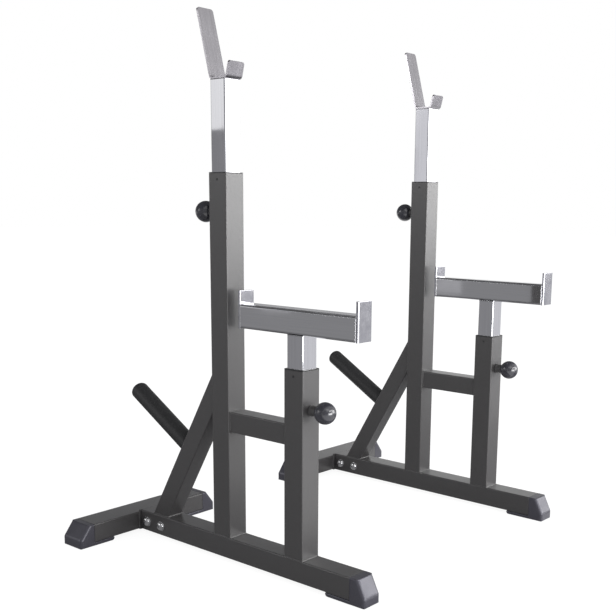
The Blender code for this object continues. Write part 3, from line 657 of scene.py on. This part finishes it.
def show_peg(side, outward):
    """Hollow round peg with a domed end."""
    node = side + "_plate_peg"
    centre, _ = middle(node)
    foot = centre - outward * (PEG_LENGTH + GAP) / 2
    shoulder = PEG_LENGTH - PEG_DOME
    bore = PEG_RADIUS - PEG_WALL
    hollow = dome(bore, shoulder, PEG_DOME - PEG_WALL, PEG_DOME_STEPS)
    profile = [(0, PEG_LENGTH - PEG_WALL), *reversed(hollow), (bore, GAP), (PEG_RADIUS, GAP),
               *dome(PEG_RADIUS, shoulder, PEG_DOME, PEG_DOME_STEPS), (0, PEG_LENGTH)]
    tilt = Vector((0, 0, 1)).rotation_difference(outward).to_matrix().to_4x4()
    replace_node(node, turned(node, profile), Matrix.Translation(foot) @ tilt)
    return foot


def show_bush(side, post):
    """Bush with a softened flange, a sleeve round the post and a snap stud."""
    node = f"{side}_{post}_bush"
    tube_centre, tube_size = middle(f"{side}_{post}_tube")
    low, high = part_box(node)
    post_node = side + ("_bar_post" if post == "upright" else "_safety_post")
    _, post_size = middle(post_node)
    bore_side = post_size.x + 2 * GAP
    sleeve_side = tube_size.x - 2 * TUBE_WALL - 2 * GAP
    top, soft = high.z, BUSH_SOFTENING
    sleeve = rounded_rectangle(sleeve_side, sleeve_side, BUSH_SLEEVE_CORNER)
    flange = rounded_rectangle(tube_size.x, tube_size.x, TUBE_CORNER)
    edge = rounded_rectangle(tube_size.x - 2 * soft, tube_size.x - 2 * soft, TUBE_CORNER - soft)
    bore = rounded_rectangle(bore_side, bore_side, POST_CORNER)
    lead = rounded_rectangle(bore_side + 2 * soft, bore_side + 2 * soft, POST_CORNER + soft)
    loops = [at_height(sleeve, low.z), at_height(sleeve, top - BUSH_FLANGE),
             at_height(flange, top - BUSH_FLANGE), at_height(flange, top - soft),
             at_height(edge, top), at_height(lead, top), at_height(bore, top - soft),
             at_height(bore, low.z)]
    place = Matrix.Translation((tube_centre.x, tube_centre.y, 0))
    steady_shading(replace_node(node, skin(node, loops, ring=True), place))
    stud_name = node + "_stud"
    chamfer = STUD_PROUD / 2
    profile = [(0, -TUBE_WALL), (STUD_RADIUS, -TUBE_WALL), (STUD_RADIUS, chamfer),
               (STUD_RADIUS - chamfer, STUD_PROUD), (0, STUD_PROUD)]
    stud_at = (tube_centre.x - tube_size.x / 2, tube_centre.y, top - STUD_DROP)
    stud = turned(stud_name, profile, STUD_STEPS)
    add_piece(stud_name, stud, Matrix.Translation(stud_at) @ quarter_turn("-X"), "plastic",
              BODY_OF_NODE[node])


def show_cap(node, out_axis):
    """Rubber foot cap: block with a sloping nose, foot strip under the rail, and plug."""
    low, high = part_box(node)
    turn = {"-Y": math.pi, "-X": math.pi / 2, "X": -math.pi / 2}[out_axis]
    centre = (low + high) / 2
    end = {
        "-Y": Vector((centre.x, low.y + CAP_LENGTH, 0)),
        "-X": Vector((low.x + CAP_LENGTH, centre.y, 0)),
        "X": Vector((high.x - CAP_LENGTH, centre.y, 0)),
    }[out_axis]
    spans = (high.x - low.x, high.y - low.y)
    width, length = spans if out_axis == "-Y" else reversed(spans)
    place = Matrix.Translation(end) @ Matrix.Rotation(turn, 4, "Z")
    which = "front" if out_axis == "-Y" else "rear"
    top = high.z
    side_view = [(GAP, 0), (GAP, top), (CAP_FLAT_TOP[which], top),
                 (CAP_LENGTH, CAP_NOSE_HEIGHT[which]), (CAP_LENGTH, 0)]
    block = replace_node(node, extruded(node, side_view, width), place)
    weigh_corners(block, place.inverted())
    bevel = block.modifiers.new("soft_edges", "BEVEL")
    bevel.width = CAP_CORNER
    bevel.segments = CAP_BEVEL_STEPS
    bevel.limit_method = "WEIGHT"
    steady_shading(block)
    add_cap_strip(node, place, width, CAP_LENGTH - length)
    add_cap_plug(node, place, width, top)


def extruded(name, side_view, width):
    """Solid with a side view in its YZ plane, as wide as given along X."""
    return skin(name, [[(x, y, z) for y, z in side_view] for x in (-width / 2, width / 2)])


def weigh_corners(block, to_cap):
    """Give every edge of a cap's block its share of the full rounding."""
    mesh = block.data
    weights = mesh.attributes.new("bevel_weight_edge", "FLOAT", "EDGE")
    for edge in mesh.edges:
        ends = [to_cap @ mesh.vertices[i].co for i in edge.vertices]
        highest = max(p.z for p in ends)
        inner, outer = min(p.y for p in ends), max(p.y for p in ends)
        if outer < 2 * GAP:
            kind = "seam"
        elif highest < GAP:
            kind = "foot"
        elif abs(ends[0].x - ends[1].x) < GAP and inner > 2 * GAP:
            kind = "nose"
        elif inner > CAP_LENGTH - GAP:
            kind = "chin"
        else:
            kind = "top"
        weights.data[edge.index].value = CAP_CORNER_SHARES[kind]


def add_cap_strip(node, place, width, inner_end):
    """Foot strip of a cap, from inside its block to a rounded inner end under the rail."""
    centre = (inner_end + CAP_STRIP_ROUND, CAP_STRIP_ROUND)
    side_view = [(CAP_STRIP_LAP, CAP_STRIP_HEIGHT), (CAP_STRIP_LAP, 0),
                 *arc(centre, CAP_STRIP_ROUND, 1.5 * math.pi, math.pi, CAP_STRIP_STEPS),
                 (inner_end, CAP_STRIP_HEIGHT)]
    name = node + "_strip"
    strip = add_piece(name, extruded(name, side_view, width), place, "rubber",
                      BODY_OF_NODE[node])
    soften(strip, CAP_STRIP_EDGE, segments=4)


def add_cap_plug(node, place, width, top):
    """Ribbed plug of a foot cap, inside the end of its rail."""
    inset = 2 * CAP_PLUG_INSET
    groove = 2 * CAP_RIB_HEIGHT
    height = top - CAP_STRIP_HEIGHT - GAP
    tight = rounded_rectangle(width - inset, height - inset, TUBE_CORNER)
    loose = rounded_rectangle(width - inset - groove, height - inset - groove, TUBE_CORNER)
    loops = []
    for i in range(CAP_PLUG_RIBS):
        start = -CAP_PLUG_LENGTH * (CAP_PLUG_RIBS - i) / CAP_PLUG_RIBS
        loops += [at_height(loose, start), at_height(tight, start + CAP_RIB_CREST[0]),
                  at_height(tight, start + CAP_RIB_CREST[1]),
                  at_height(loose, start + CAP_RIB_END)]
    loops.append(at_height(loose, CAP_STRIP_HEIGHT))
    name = node + "_plug"
    lay = Matrix.Translation((0, 0, (top + CAP_STRIP_HEIGHT + GAP) / 2)) @ quarter_turn("Y")
    add_piece(name, skin(name, loops), place @ lay, "rubber", BODY_OF_NODE[node])


def show_hook(side):
    """Bar cradle bent from one flat bar, with softened edges and rounded ends."""
    node = side + "_bar_hook"
    low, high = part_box(node)
    stand_y = middle(side + "_upright_tube")[0].y
    half = HOOK_THICKNESS / 2
    bend = HOOK_BEND_RADIUS + half
    sweep = math.pi / 2 - HOOK_LEAN
    setback = bend * math.tan(sweep / 2)
    spare = half * math.tan(sweep / 2)
    level = low.z + half
    width = (high.x - low.x) / 2

    def leaning_end(foot_y, forward, top, corner):
        """Rows of a leaning end, from its bend to its rounded top."""
        lean = Vector((forward * math.sin(HOOK_LEAN), math.cos(HOOK_LEAN)))
        normal = Vector((-forward * math.cos(HOOK_LEAN), math.sin(HOOK_LEAN)))
        foot = Vector((foot_y, level)) + lean * setback
        reach = (top - foot.y) / math.cos(HOOK_LEAN)
        ends = [(reach - corner + a, width - corner + b)
                for b, a in arc((0, 0), corner, 0, math.pi / 2, HOOK_CORNER_STEPS)]
        return [(foot + lean * distance, normal, wide) for distance, wide in ends]

    def elbow(centre_y, forward):
        """Rows round a bend, from the flat floor to the leaning end."""
        centre = Vector((centre_y, level + bend))
        found = []
        for i in range(HOOK_BEND_STEPS + 1):
            angle = sweep * i / HOOK_BEND_STEPS
            inward = Vector((-forward * math.sin(angle), math.cos(angle)))
            found.append((centre - inward * bend, inward, width))
        return found

    rear_corner = stand_y + HOOK_FLOOR_REAR + spare
    front_corner = stand_y + HOOK_FLOOR_FRONT - spare
    arm_top = high.z - half * math.sin(HOOK_LEAN)
    rows = [
        *reversed(leaning_end(front_corner, -1, low.z + HOOK_LIP_HEIGHT, HOOK_LIP_CORNER)),
        *reversed(elbow(front_corner + setback, -1)),
        *elbow(rear_corner - setback, 1),
        *leaning_end(rear_corner, 1, arm_top, HOOK_ARM_CORNER),
    ]
    x = (low.x + high.x) / 2
    loops = []
    for point, normal, wide in rows:
        near, far = point - normal * half, point + normal * half
        loops.append([(x - wide, near.x, near.y), (x + wide, near.x, near.y),
                      (x + wide, far.x, far.y), (x - wide, far.x, far.y)])
    soften(replace_node(node, skin(node, loops), Matrix.Identity(4)), HOOK_EDGE)


def soften(piece, width, segments=3):
    """Round the sharp edges of a piece."""
    bevel = piece.modifiers.new("soft_edges", "BEVEL")
    bevel.width = width
    bevel.segments = segments
    bevel.limit_method = "ANGLE"
    bevel.angle_limit = SOFTENED_ANGLE
    bevel.use_clamp_overlap = True
    steady_shading(piece)


def show_plate(node):
    """Stop plate with rounded upright edges and softened rims."""
    centre, size = middle(node)
    edge, turn = PLATE_EDGE, PLATE_EDGE * ROUNDING_SHARE
    loops = []
    for height, inset in ((0, edge), (turn, turn), (edge, 0),
                          (size.z - edge, 0), (size.z - turn, turn), (size.z, edge)):
        ring = rounded_rectangle(size.x - 2 * inset, size.y - 2 * inset, PLATE_CORNER - inset)
        loops.append(at_height(ring, height - size.z / 2))
    plate = replace_node(node, skin(node, loops), Matrix.Translation(centre), "plate_chrome")
    steady_shading(plate)


def show_pull_pin(side, which):
    """Collar, ball knob and spring of one pull pin."""
    prefix = f"{side}_{which}_"
    tube = side + ("_upright_tube" if which == "bar" else "_safety_tube")
    tube_centre, tube_size = middle(tube)
    pin_z = middle(prefix + "pin_knob")[0].z
    sign = 1 if which == "bar" else -1
    seat = Vector((tube_centre.x, tube_centre.y + sign * tube_size.y / 2, pin_z))
    place = Matrix.Translation(seat) @ quarter_turn("Y" if sign > 0 else "-Y")

    turn = COLLAR_CHAMFER * ROUNDING_SHARE
    collar = [(CHAMBER_RADIUS, GAP), (COLLAR_FLARE_RADIUS, GAP),
              (COLLAR_FLARE_RADIUS, COLLAR_FLARE_LENGTH - COLLAR_FLARE_EDGE),
              (COLLAR_FLARE_RADIUS - COLLAR_FLARE_EDGE, COLLAR_FLARE_LENGTH),
              (COLLAR_RADIUS, COLLAR_NARROWS_AT), (COLLAR_RADIUS, COLLAR_LENGTH - COLLAR_CHAMFER),
              (COLLAR_RADIUS - turn, COLLAR_LENGTH - turn),
              (COLLAR_RADIUS - COLLAR_CHAMFER, COLLAR_LENGTH), (COLLAR_BORE, COLLAR_LENGTH),
              (COLLAR_BORE, CHAMBER_END), (CHAMBER_RADIUS, CHAMBER_END)]
    replace_node(prefix + "pin_collar", turned(prefix + "pin_collar", collar), place)

    start = -math.acos((KNOB_NECK + KNOB_NECK_FLARE) / KNOB_RADIUS)
    ball = arc((0, KNOB_MIDDLE), KNOB_RADIUS, start, math.pi / 2, KNOB_STEPS)
    ball[-1] = (0, KNOB_MIDDLE + KNOB_RADIUS)
    knob = [(0, KNOB_BACK + KNOB_RECESS), (STEM_RADIUS, KNOB_BACK + KNOB_RECESS),
            (STEM_RADIUS + KNOB_RECESS_SLOPE, KNOB_BACK), (KNOB_NECK - KNOB_CHAMFER, KNOB_BACK),
            (KNOB_NECK, KNOB_BACK + KNOB_CHAMFER), *ball]
    replace_node(prefix + "pin_knob", turned(prefix + "pin_knob", knob), place)
    show_spring(prefix, place)


def show_spring(prefix, place):
    """Compression spring of one pull pin against the end of its collar, as a mesh of its own at a single length;
    the real spring shortens as the pin is pulled.
    """
    count = round(SPRING_TURNS * SPRING_STEPS)
    wire = circle(SPRING_WIRE, BEAD_STEPS)
    loops = []
    for i in range(count + 1):
        angle = 2 * math.pi * i / SPRING_STEPS
        outward = Vector((math.cos(angle), math.sin(angle), 0))
        centre = outward * SPRING_RADIUS
        centre.z = SPRING_START + (SPRING_END - SPRING_START) * i / count
        loops.append([centre + outward * u + Vector((0, 0, v)) for u, v in wire])
    node = prefix + "pin_spring"
    spring = replace_node(node, skin(node, loops), place)
    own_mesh(spring)


def show_bolt(side, position):
    """Dome-headed flange bolt with a hexagon socket."""
    node = f"{side}_joint_bolt_{position}"
    centre, size = middle(node)
    wall_x = centre.x - size.x / 2 + BOLT_HEAD_HEIGHT + GAP
    head = dome(BOLT_HEAD_RADIUS, GAP + BOLT_RIM_HEIGHT, BOLT_HEAD_HEIGHT - BOLT_RIM_HEIGHT,
                BOLT_DOME_STEPS)
    soft = BOLT_FLANGE_HEIGHT / 3
    profile = [(0, -BOLT_REACH), (BOLT_SHANK_RADIUS, -BOLT_REACH), (BOLT_SHANK_RADIUS, GAP),
               (BOLT_FLANGE_RADIUS, GAP), (BOLT_FLANGE_RADIUS, GAP + BOLT_FLANGE_HEIGHT - soft),
               (BOLT_FLANGE_RADIUS - soft, GAP + BOLT_FLANGE_HEIGHT),
               (BOLT_HEAD_RADIUS, GAP + BOLT_FLANGE_HEIGHT), *head, (0, GAP + BOLT_HEAD_HEIGHT)]
    place = Matrix.Translation((wall_x, centre.y, centre.z)) @ quarter_turn("-X")
    bolt = replace_node(node, turned(node, profile), place)
    socket = arc((0, 0), BOLT_SOCKET_RADIUS, 0, 5 * math.pi / 3, 5)
    deep = BOLT_HEAD_HEIGHT - BOLT_SOCKET_DEPTH
    ends = [at_height(socket, deep), at_height(socket, 2 * BOLT_HEAD_HEIGHT)]
    cutter = skin(node + "_socket", ends)
    cutter.transform(place)
    cut(bolt, cutter)


def bead_path(outline):
    """Points at an even spacing along a closed outline of 3-D points."""
    closed = [Vector(p) for p in outline] + [Vector(outline[0])]
    lengths = [(b - a).length for a, b in zip(closed, closed[1:])]
    total = sum(lengths)
    count = round(total / WELD_SPACING)
    points, walked, i = [], 0.0, 0
    for step in range(count):
        target = total * step / count
        while walked + lengths[i] < target:
            walked += lengths[i]
            i += 1
        points.append(closed[i].lerp(closed[i + 1], (target - walked) / lengths[i]))
    return points, total


def add_weld(name, outline, look, radius):
    """Rippled weld bead along a closed outline, with a (body, finish, slot) look; the slot is not used."""
    points, total = bead_path(outline)
    count = len(points)
    ripples = round(total / WELD_RIPPLE_PITCH)
    bead = circle(1.0, BEAD_STEPS)
    loops = []
    for i, point in enumerate(points):
        tangent = (points[(i + 1) % count] - points[i - 1]).normalized()
        side = tangent.cross(Vector(WELD_SIDEWAYS)).normalized()
        across = tangent.cross(side)
        phase = 2 * math.pi * ripples * i / count
        drift = WELD_DRIFT * math.sin(WELD_DRIFT_PACE * phase)
        wave = WELD_RIPPLE * abs(math.sin(phase / 2)) + drift
        size = radius * (1 - WELD_RIPPLE / 2 + wave)
        loops.append([point + side * size * c + across * size * s for c, s in bead])
    body, finish, slot = look
    add_piece(name, skin(name, loops, ring=True), Matrix.Identity(4), finish, body)


def weld_tube(name, centre, across, corner, axis, growth, look, radius=WELD_RADIUS):
    """Weld bead round a rectangular tube, in the plane square to an axis."""
    ring = rounded_rectangle(across[0] + 2 * growth, across[1] + 2 * growth, corner + growth)
    place = Matrix.Translation(centre) @ quarter_turn(axis)
    add_weld(name, [place @ Vector((x, y, 0)) for x, y in ring], look, radius)


def weld_stand(side, axis_foot, along, outward, peg_foot):
    """Weld beads of one stand."""
    look = (side + "_frame", "frame_paint", "frame_paint")
    rail_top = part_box(side + "_base_rail")[1].z
    for tube in ("upright_tube", "safety_tube"):
        centre, size = middle(f"{side}_{tube}")
        weld_tube(f"{side}_{tube}_weld", (centre.x, centre.y, rail_top), (size.x, size.y),
                  TUBE_CORNER, "Z", FOOT_WELD_GROWTH, look)
    centre, size = middle(side + "_link_tube")
    for end, sign in (("front", -1), ("rear", 1)):
        at = (centre.x, centre.y + sign * size.y / 2, centre.z)
        weld_tube(f"{side}_link_weld_{end}", at, (size.x, size.z), TUBE_CORNER, "Y",
                  PAINTED_WELD_GROWTH, look)
    plate_low, plate_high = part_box(side + "_joint_spigot")
    foot = plate_low.z + JOINT_WELD_INSET
    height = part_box(side + "_cross_rail")[1].z - plate_low.z - 2 * JOINT_WELD_INSET
    at = ((plate_low.x + plate_high.x) / 2, plate_high.y, foot + height / 2)
    weld_tube(side + "_joint_weld", at, (plate_high.x - plate_low.x, height), TUBE_CORNER, "Y",
              PAINTED_WELD_GROWTH, look, JOINT_WELD_RADIUS)
    foot_depth = BRACE_DEPTH / math.sin(BRACE_ANGLE)
    weld_tube(side + "_brace_weld_foot", (axis_foot.x, axis_foot.y, rail_top),
              (BRACE_WIDTH, foot_depth), TUBE_CORNER, "Z", PAINTED_WELD_GROWTH, look)
    head_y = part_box(side + "_brace_tube")[0].y
    head = axis_foot + along * ((head_y - axis_foot.y) / along.y)
    head_height = BRACE_DEPTH / math.cos(BRACE_ANGLE)
    weld_tube(side + "_brace_weld_head", head, (BRACE_WIDTH, head_height), TUBE_CORNER, "Y",
              PAINTED_WELD_GROWTH, look)
    tilt = Vector((0, 0, 1)).rotation_difference(outward).to_matrix().to_4x4()
    place = Matrix.Translation(peg_foot + outward * GAP) @ tilt
    ring = circle(PEG_RADIUS + PAINTED_WELD_GROWTH, PEG_RING_STEPS)
    add_weld(side + "_peg_weld", [place @ Vector((x, y, 0)) for x, y in ring], look, WELD_RADIUS)


def weld_sliders(side):
    """Plated weld beads of the bar hook and the safety beam."""
    centre, size = middle(side + "_bar_post")
    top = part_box(side + "_bar_post")[1].z
    look = (side + "_bar_slider", "satin_steel", "satin_steel")
    weld_tube(side + "_hook_weld", (centre.x, centre.y, top), (size.x, size.y), POST_CORNER, "Z",
              HOOK_WELD_GROWTH, look, PLATED_WELD_RADIUS)
    centre, size = middle(side + "_safety_post")
    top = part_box(side + "_safety_post")[1].z
    look = (side + "_safety_slider", "beam_chrome", "satin_steel")
    weld_tube(side + "_beam_weld", (centre.x, centre.y, top), (size.x, size.y), POST_CORNER, "Z",
              BEAM_WELD_GROWTH, look, PLATED_WELD_RADIUS)
    centre, size = middle(side + "_safety_beam")
    for end, sign in (("front", -1), ("rear", 1)):
        at = (centre.x, centre.y + sign * size.y / 2, centre.z)
        weld_tube(f"{side}_beam_plate_weld_{end}", at, (size.x, size.z), BEAM_CORNER, "Y",
                  BEAM_WELD_GROWTH, look, PLATED_WELD_RADIUS)


def show_stand(side):
    """All shown pieces of one stand."""
    upright, upright_size = middle(side + "_upright_tube")
    bar_pin_z = middle(side + "_bar_pin_knob")[0].z
    safety_pin_z = middle(side + "_safety_pin_knob")[0].z
    bolts = []
    for position in ("front", "rear"):
        bolt, _ = middle(f"{side}_joint_bolt_{position}")
        bolts.append(((upright.x - upright_size.x / 2, bolt.y, bolt.z), "X", BOLT_HOLE_RADIUS))
    show_tube(side + "_base_rail", "Y", TUBE_WALL, TUBE_CORNER, holes=bolts)
    show_tube(side + "_cross_rail", "X", TUBE_WALL, TUBE_CORNER)
    show_tube(side + "_link_tube", "Y", TUBE_WALL, TUBE_CORNER)
    for post, pin_z, facing in (("upright", bar_pin_z, "Y"), ("safety", safety_pin_z, "-Y")):
        centre, size = middle(f"{side}_{post}_tube")
        bush_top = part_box(f"{side}_{post}_bush")[1].z
        sign = 1 if facing == "Y" else -1
        holes = [((centre.x, centre.y + sign * size.y / 2, pin_z), facing, PIN_HOLE_RADIUS),
                 ((centre.x - size.x / 2, centre.y, bush_top - STUD_DROP), "X", STUD_HOLE_RADIUS)]
        show_tube(f"{side}_{post}_tube", "Z", TUBE_WALL, TUBE_CORNER, holes=holes)
        show_bush(side, post)
    axis_foot, along, outward = show_brace(side)
    peg_foot = show_peg(side, outward)
    show_cap(side + "_front_foot_cap", "-Y")
    show_cap(side + "_rear_foot_cap_left", "-X")
    show_cap(side + "_rear_foot_cap_right", "X")
    show_bolt(side, "front")
    show_bolt(side, "rear")
    for which in ("bar", "safety"):
        show_tube(f"{side}_{which}_post", "Z", POST_WALL, POST_CORNER,
                  holes=post_holes(side, which))
    show_hook(side)
    show_tube(side + "_safety_beam", "Y", BEAM_WALL, BEAM_CORNER, "beam_chrome")
    show_plate(side + "_beam_front_plate")
    show_plate(side + "_beam_rear_plate")
    show_pull_pin(side, "bar")
    show_pull_pin(side, "safety")
    weld_stand(side, axis_foot, along, outward, peg_foot)
    weld_sliders(side)


def finish_kept_nodes():
    """Give every CAD node that still shows the finish of its slot."""
    for name, node in frame["nodes"].items():
        if not node.hide_render:
            node.data.materials.clear()
            node.data.materials.append(FINISHES[SLOT_OF_NODE[name]])
        if name.endswith("joint_spigot"):
            soften(node, JOINT_PLATE_EDGE)


# Studio


def seen_directly(tree):
    """Factor that is 1 for rays from the camera, mirrors and glass."""
    path = tree.nodes.new("ShaderNodeLightPath")
    factor = path.outputs["Is Camera Ray"]
    for other in ("Is Glossy Ray", "Is Transmission Ray"):
        either = tree.nodes.new("ShaderNodeMath")
        either.operation = "MAXIMUM"
        tree.links.new(factor, either.inputs[0])
        tree.links.new(path.outputs[other], either.inputs[1])
        factor = either.outputs["Value"]
    return factor


def light_world():
    """World that lights at a plain level and shows as white."""
    world = bpy.data.worlds.new("studio")
    bpy.context.scene.world = world
    world.use_nodes = True
    tree = world.node_tree
    tree.nodes.clear()
    output = tree.nodes.new("ShaderNodeOutputWorld")
    mix = tree.nodes.new("ShaderNodeMixShader")
    lit = tree.nodes.new("ShaderNodeBackground")
    shown = tree.nodes.new("ShaderNodeBackground")
    lit.inputs["Color"].default_value = (*WORLD_TINT, 1.0)
    lit.inputs["Strength"].default_value = WORLD_LEVEL
    shown.inputs["Color"].default_value = (1.0, 1.0, 1.0, 1.0)
    shown.inputs["Strength"].default_value = 1.0
    tree.links.new(seen_directly(tree), mix.inputs["Fac"])
    tree.links.new(lit.outputs["Background"], mix.inputs[1])
    tree.links.new(shown.outputs["Background"], mix.inputs[2])
    tree.links.new(mix.outputs["Shader"], output.inputs["Surface"])


def floor_finish():
    """White floor that keeps a part of the object's shadow."""
    material = bpy.data.materials.new("floor")
    material.use_nodes = True
    tree = material.node_tree
    tree.nodes.clear()
    output = tree.nodes.new("ShaderNodeOutputMaterial")
    diffuse = tree.nodes.new("ShaderNodeBsdfDiffuse")
    diffuse.inputs["Color"].default_value = (FLOOR_GREY, FLOOR_GREY, FLOOR_GREY, 1.0)
    glow = tree.nodes.new("ShaderNodeEmission")
    glow.inputs["Color"].default_value = (1.0, 1.0, 1.0, 1.0)
    glow.inputs["Strength"].default_value = FLOOR_GLOW
    share = tree.nodes.new("ShaderNodeMath")
    share.operation = "MULTIPLY"
    share.inputs[1].default_value = 1.0 - FLOOR_SHADOW
    mix = tree.nodes.new("ShaderNodeMixShader")
    tree.links.new(seen_directly(tree), share.inputs[0])
    tree.links.new(share.outputs["Value"], mix.inputs["Fac"])
    tree.links.new(diffuse.outputs["BSDF"], mix.inputs[1])
    tree.links.new(glow.outputs["Emission"], mix.inputs[2])
    tree.links.new(mix.outputs["Shader"], output.inputs["Surface"])
    return material


def add_floor():
    """Large pale floor under the stands."""
    builder = bmesh.new()
    bmesh.ops.create_grid(builder, x_segments=1, y_segments=1, size=FLOOR_REACH,
                          matrix=Matrix.Translation((0, 0, -GAP)))
    floor = bpy.data.objects.new("floor", finish_mesh("floor", builder))
    bpy.context.scene.collection.objects.link(floor)
    floor.data.materials.append(floor_finish())


def add_card(name, corner, along, up, grey):
    """Grey card beside the set that glows for polished faces only: a painted reflection, not a lamp."""
    material = bpy.data.materials.new(name)
    material.use_nodes = True
    tree = material.node_tree
    tree.nodes.clear()
    output = tree.nodes.new("ShaderNodeOutputMaterial")
    # The card's grey is its glow, which paints a reflection into polished faces
    glow = tree.nodes.new("ShaderNodeEmission")
    glow.inputs["Color"].default_value = (grey, grey, grey * CARD_BLUE, 1.0)
    tree.links.new(glow.outputs["Emission"], output.inputs["Surface"])
    corner, along, up = Vector(corner), Vector(along), Vector(up)
    builder = bmesh.new()
    corners = [corner, corner + along, corner + along + up, corner + up]
    builder.faces.new([builder.verts.new(p) for p in corners])
    card = bpy.data.objects.new(name, finish_mesh(name, builder))
    bpy.context.scene.collection.objects.link(card)
    card.data.materials.append(material)
    card.visible_camera = False
    card.visible_diffuse = False
    card.visible_shadow = False


def add_lamp(name, at, towards, size, power):
    """Soft square lamp that points at a place."""
    data = bpy.data.lights.new(name, "AREA")
    data.shape = "RECTANGLE"
    data.size, data.size_y = size
    data.energy = power
    lamp = bpy.data.objects.new(name, data)
    lamp.visible_camera = False
    lamp.location = at
    direction = Vector(towards) - Vector(at)
    lamp.rotation_euler = direction.to_track_quat("-Z", "Y").to_euler()
    bpy.context.scene.collection.objects.link(lamp)


def add_camera():
    """Camera at the photograph's place, with its framing as lens shift."""
    yaw, pitch, roll = CAMERA_YAW, CAMERA_PITCH, CAMERA_ROLL
    ahead = Vector((math.cos(yaw) * math.cos(pitch), math.sin(yaw) * math.cos(pitch),
                    math.sin(pitch)))
    level_right = ahead.cross(Vector((0, 0, 1))).normalized()
    level_up = level_right.cross(ahead)
    right = level_right * math.cos(roll) + level_up * math.sin(roll)
    up = level_up * math.cos(roll) - level_right * math.sin(roll)
    data = bpy.data.cameras.new("camera")
    data.sensor_width = SENSOR
    data.lens = FOCAL_PIXELS * SENSOR / PHOTO_SIZE
    data.shift_x = 0.5 - CENTRE_PIXEL[0] / PHOTO_SIZE
    data.shift_y = CENTRE_PIXEL[1] / PHOTO_SIZE - 0.5
    camera = bpy.data.objects.new("camera", data)
    bpy.context.scene.collection.objects.link(camera)
    turn = Matrix((right, up, -ahead)).transposed().to_4x4()
    camera.matrix_world = Matrix.Translation(CAMERA_AT) @ turn
    bpy.context.scene.camera = camera


add_camera()
bpy.context.scene.view_settings.view_transform = "Standard"
for side in SIDES:
    show_stand(side)
finish_kept_nodes()
light_world()
add_floor()
for name, (corner, along, up, grey) in CARDS.items():
    add_card(name, corner, along, up, grey)
for name, (at, towards, size, power) in LAMPS.items():
    add_lamp(name, at, towards, size, power)
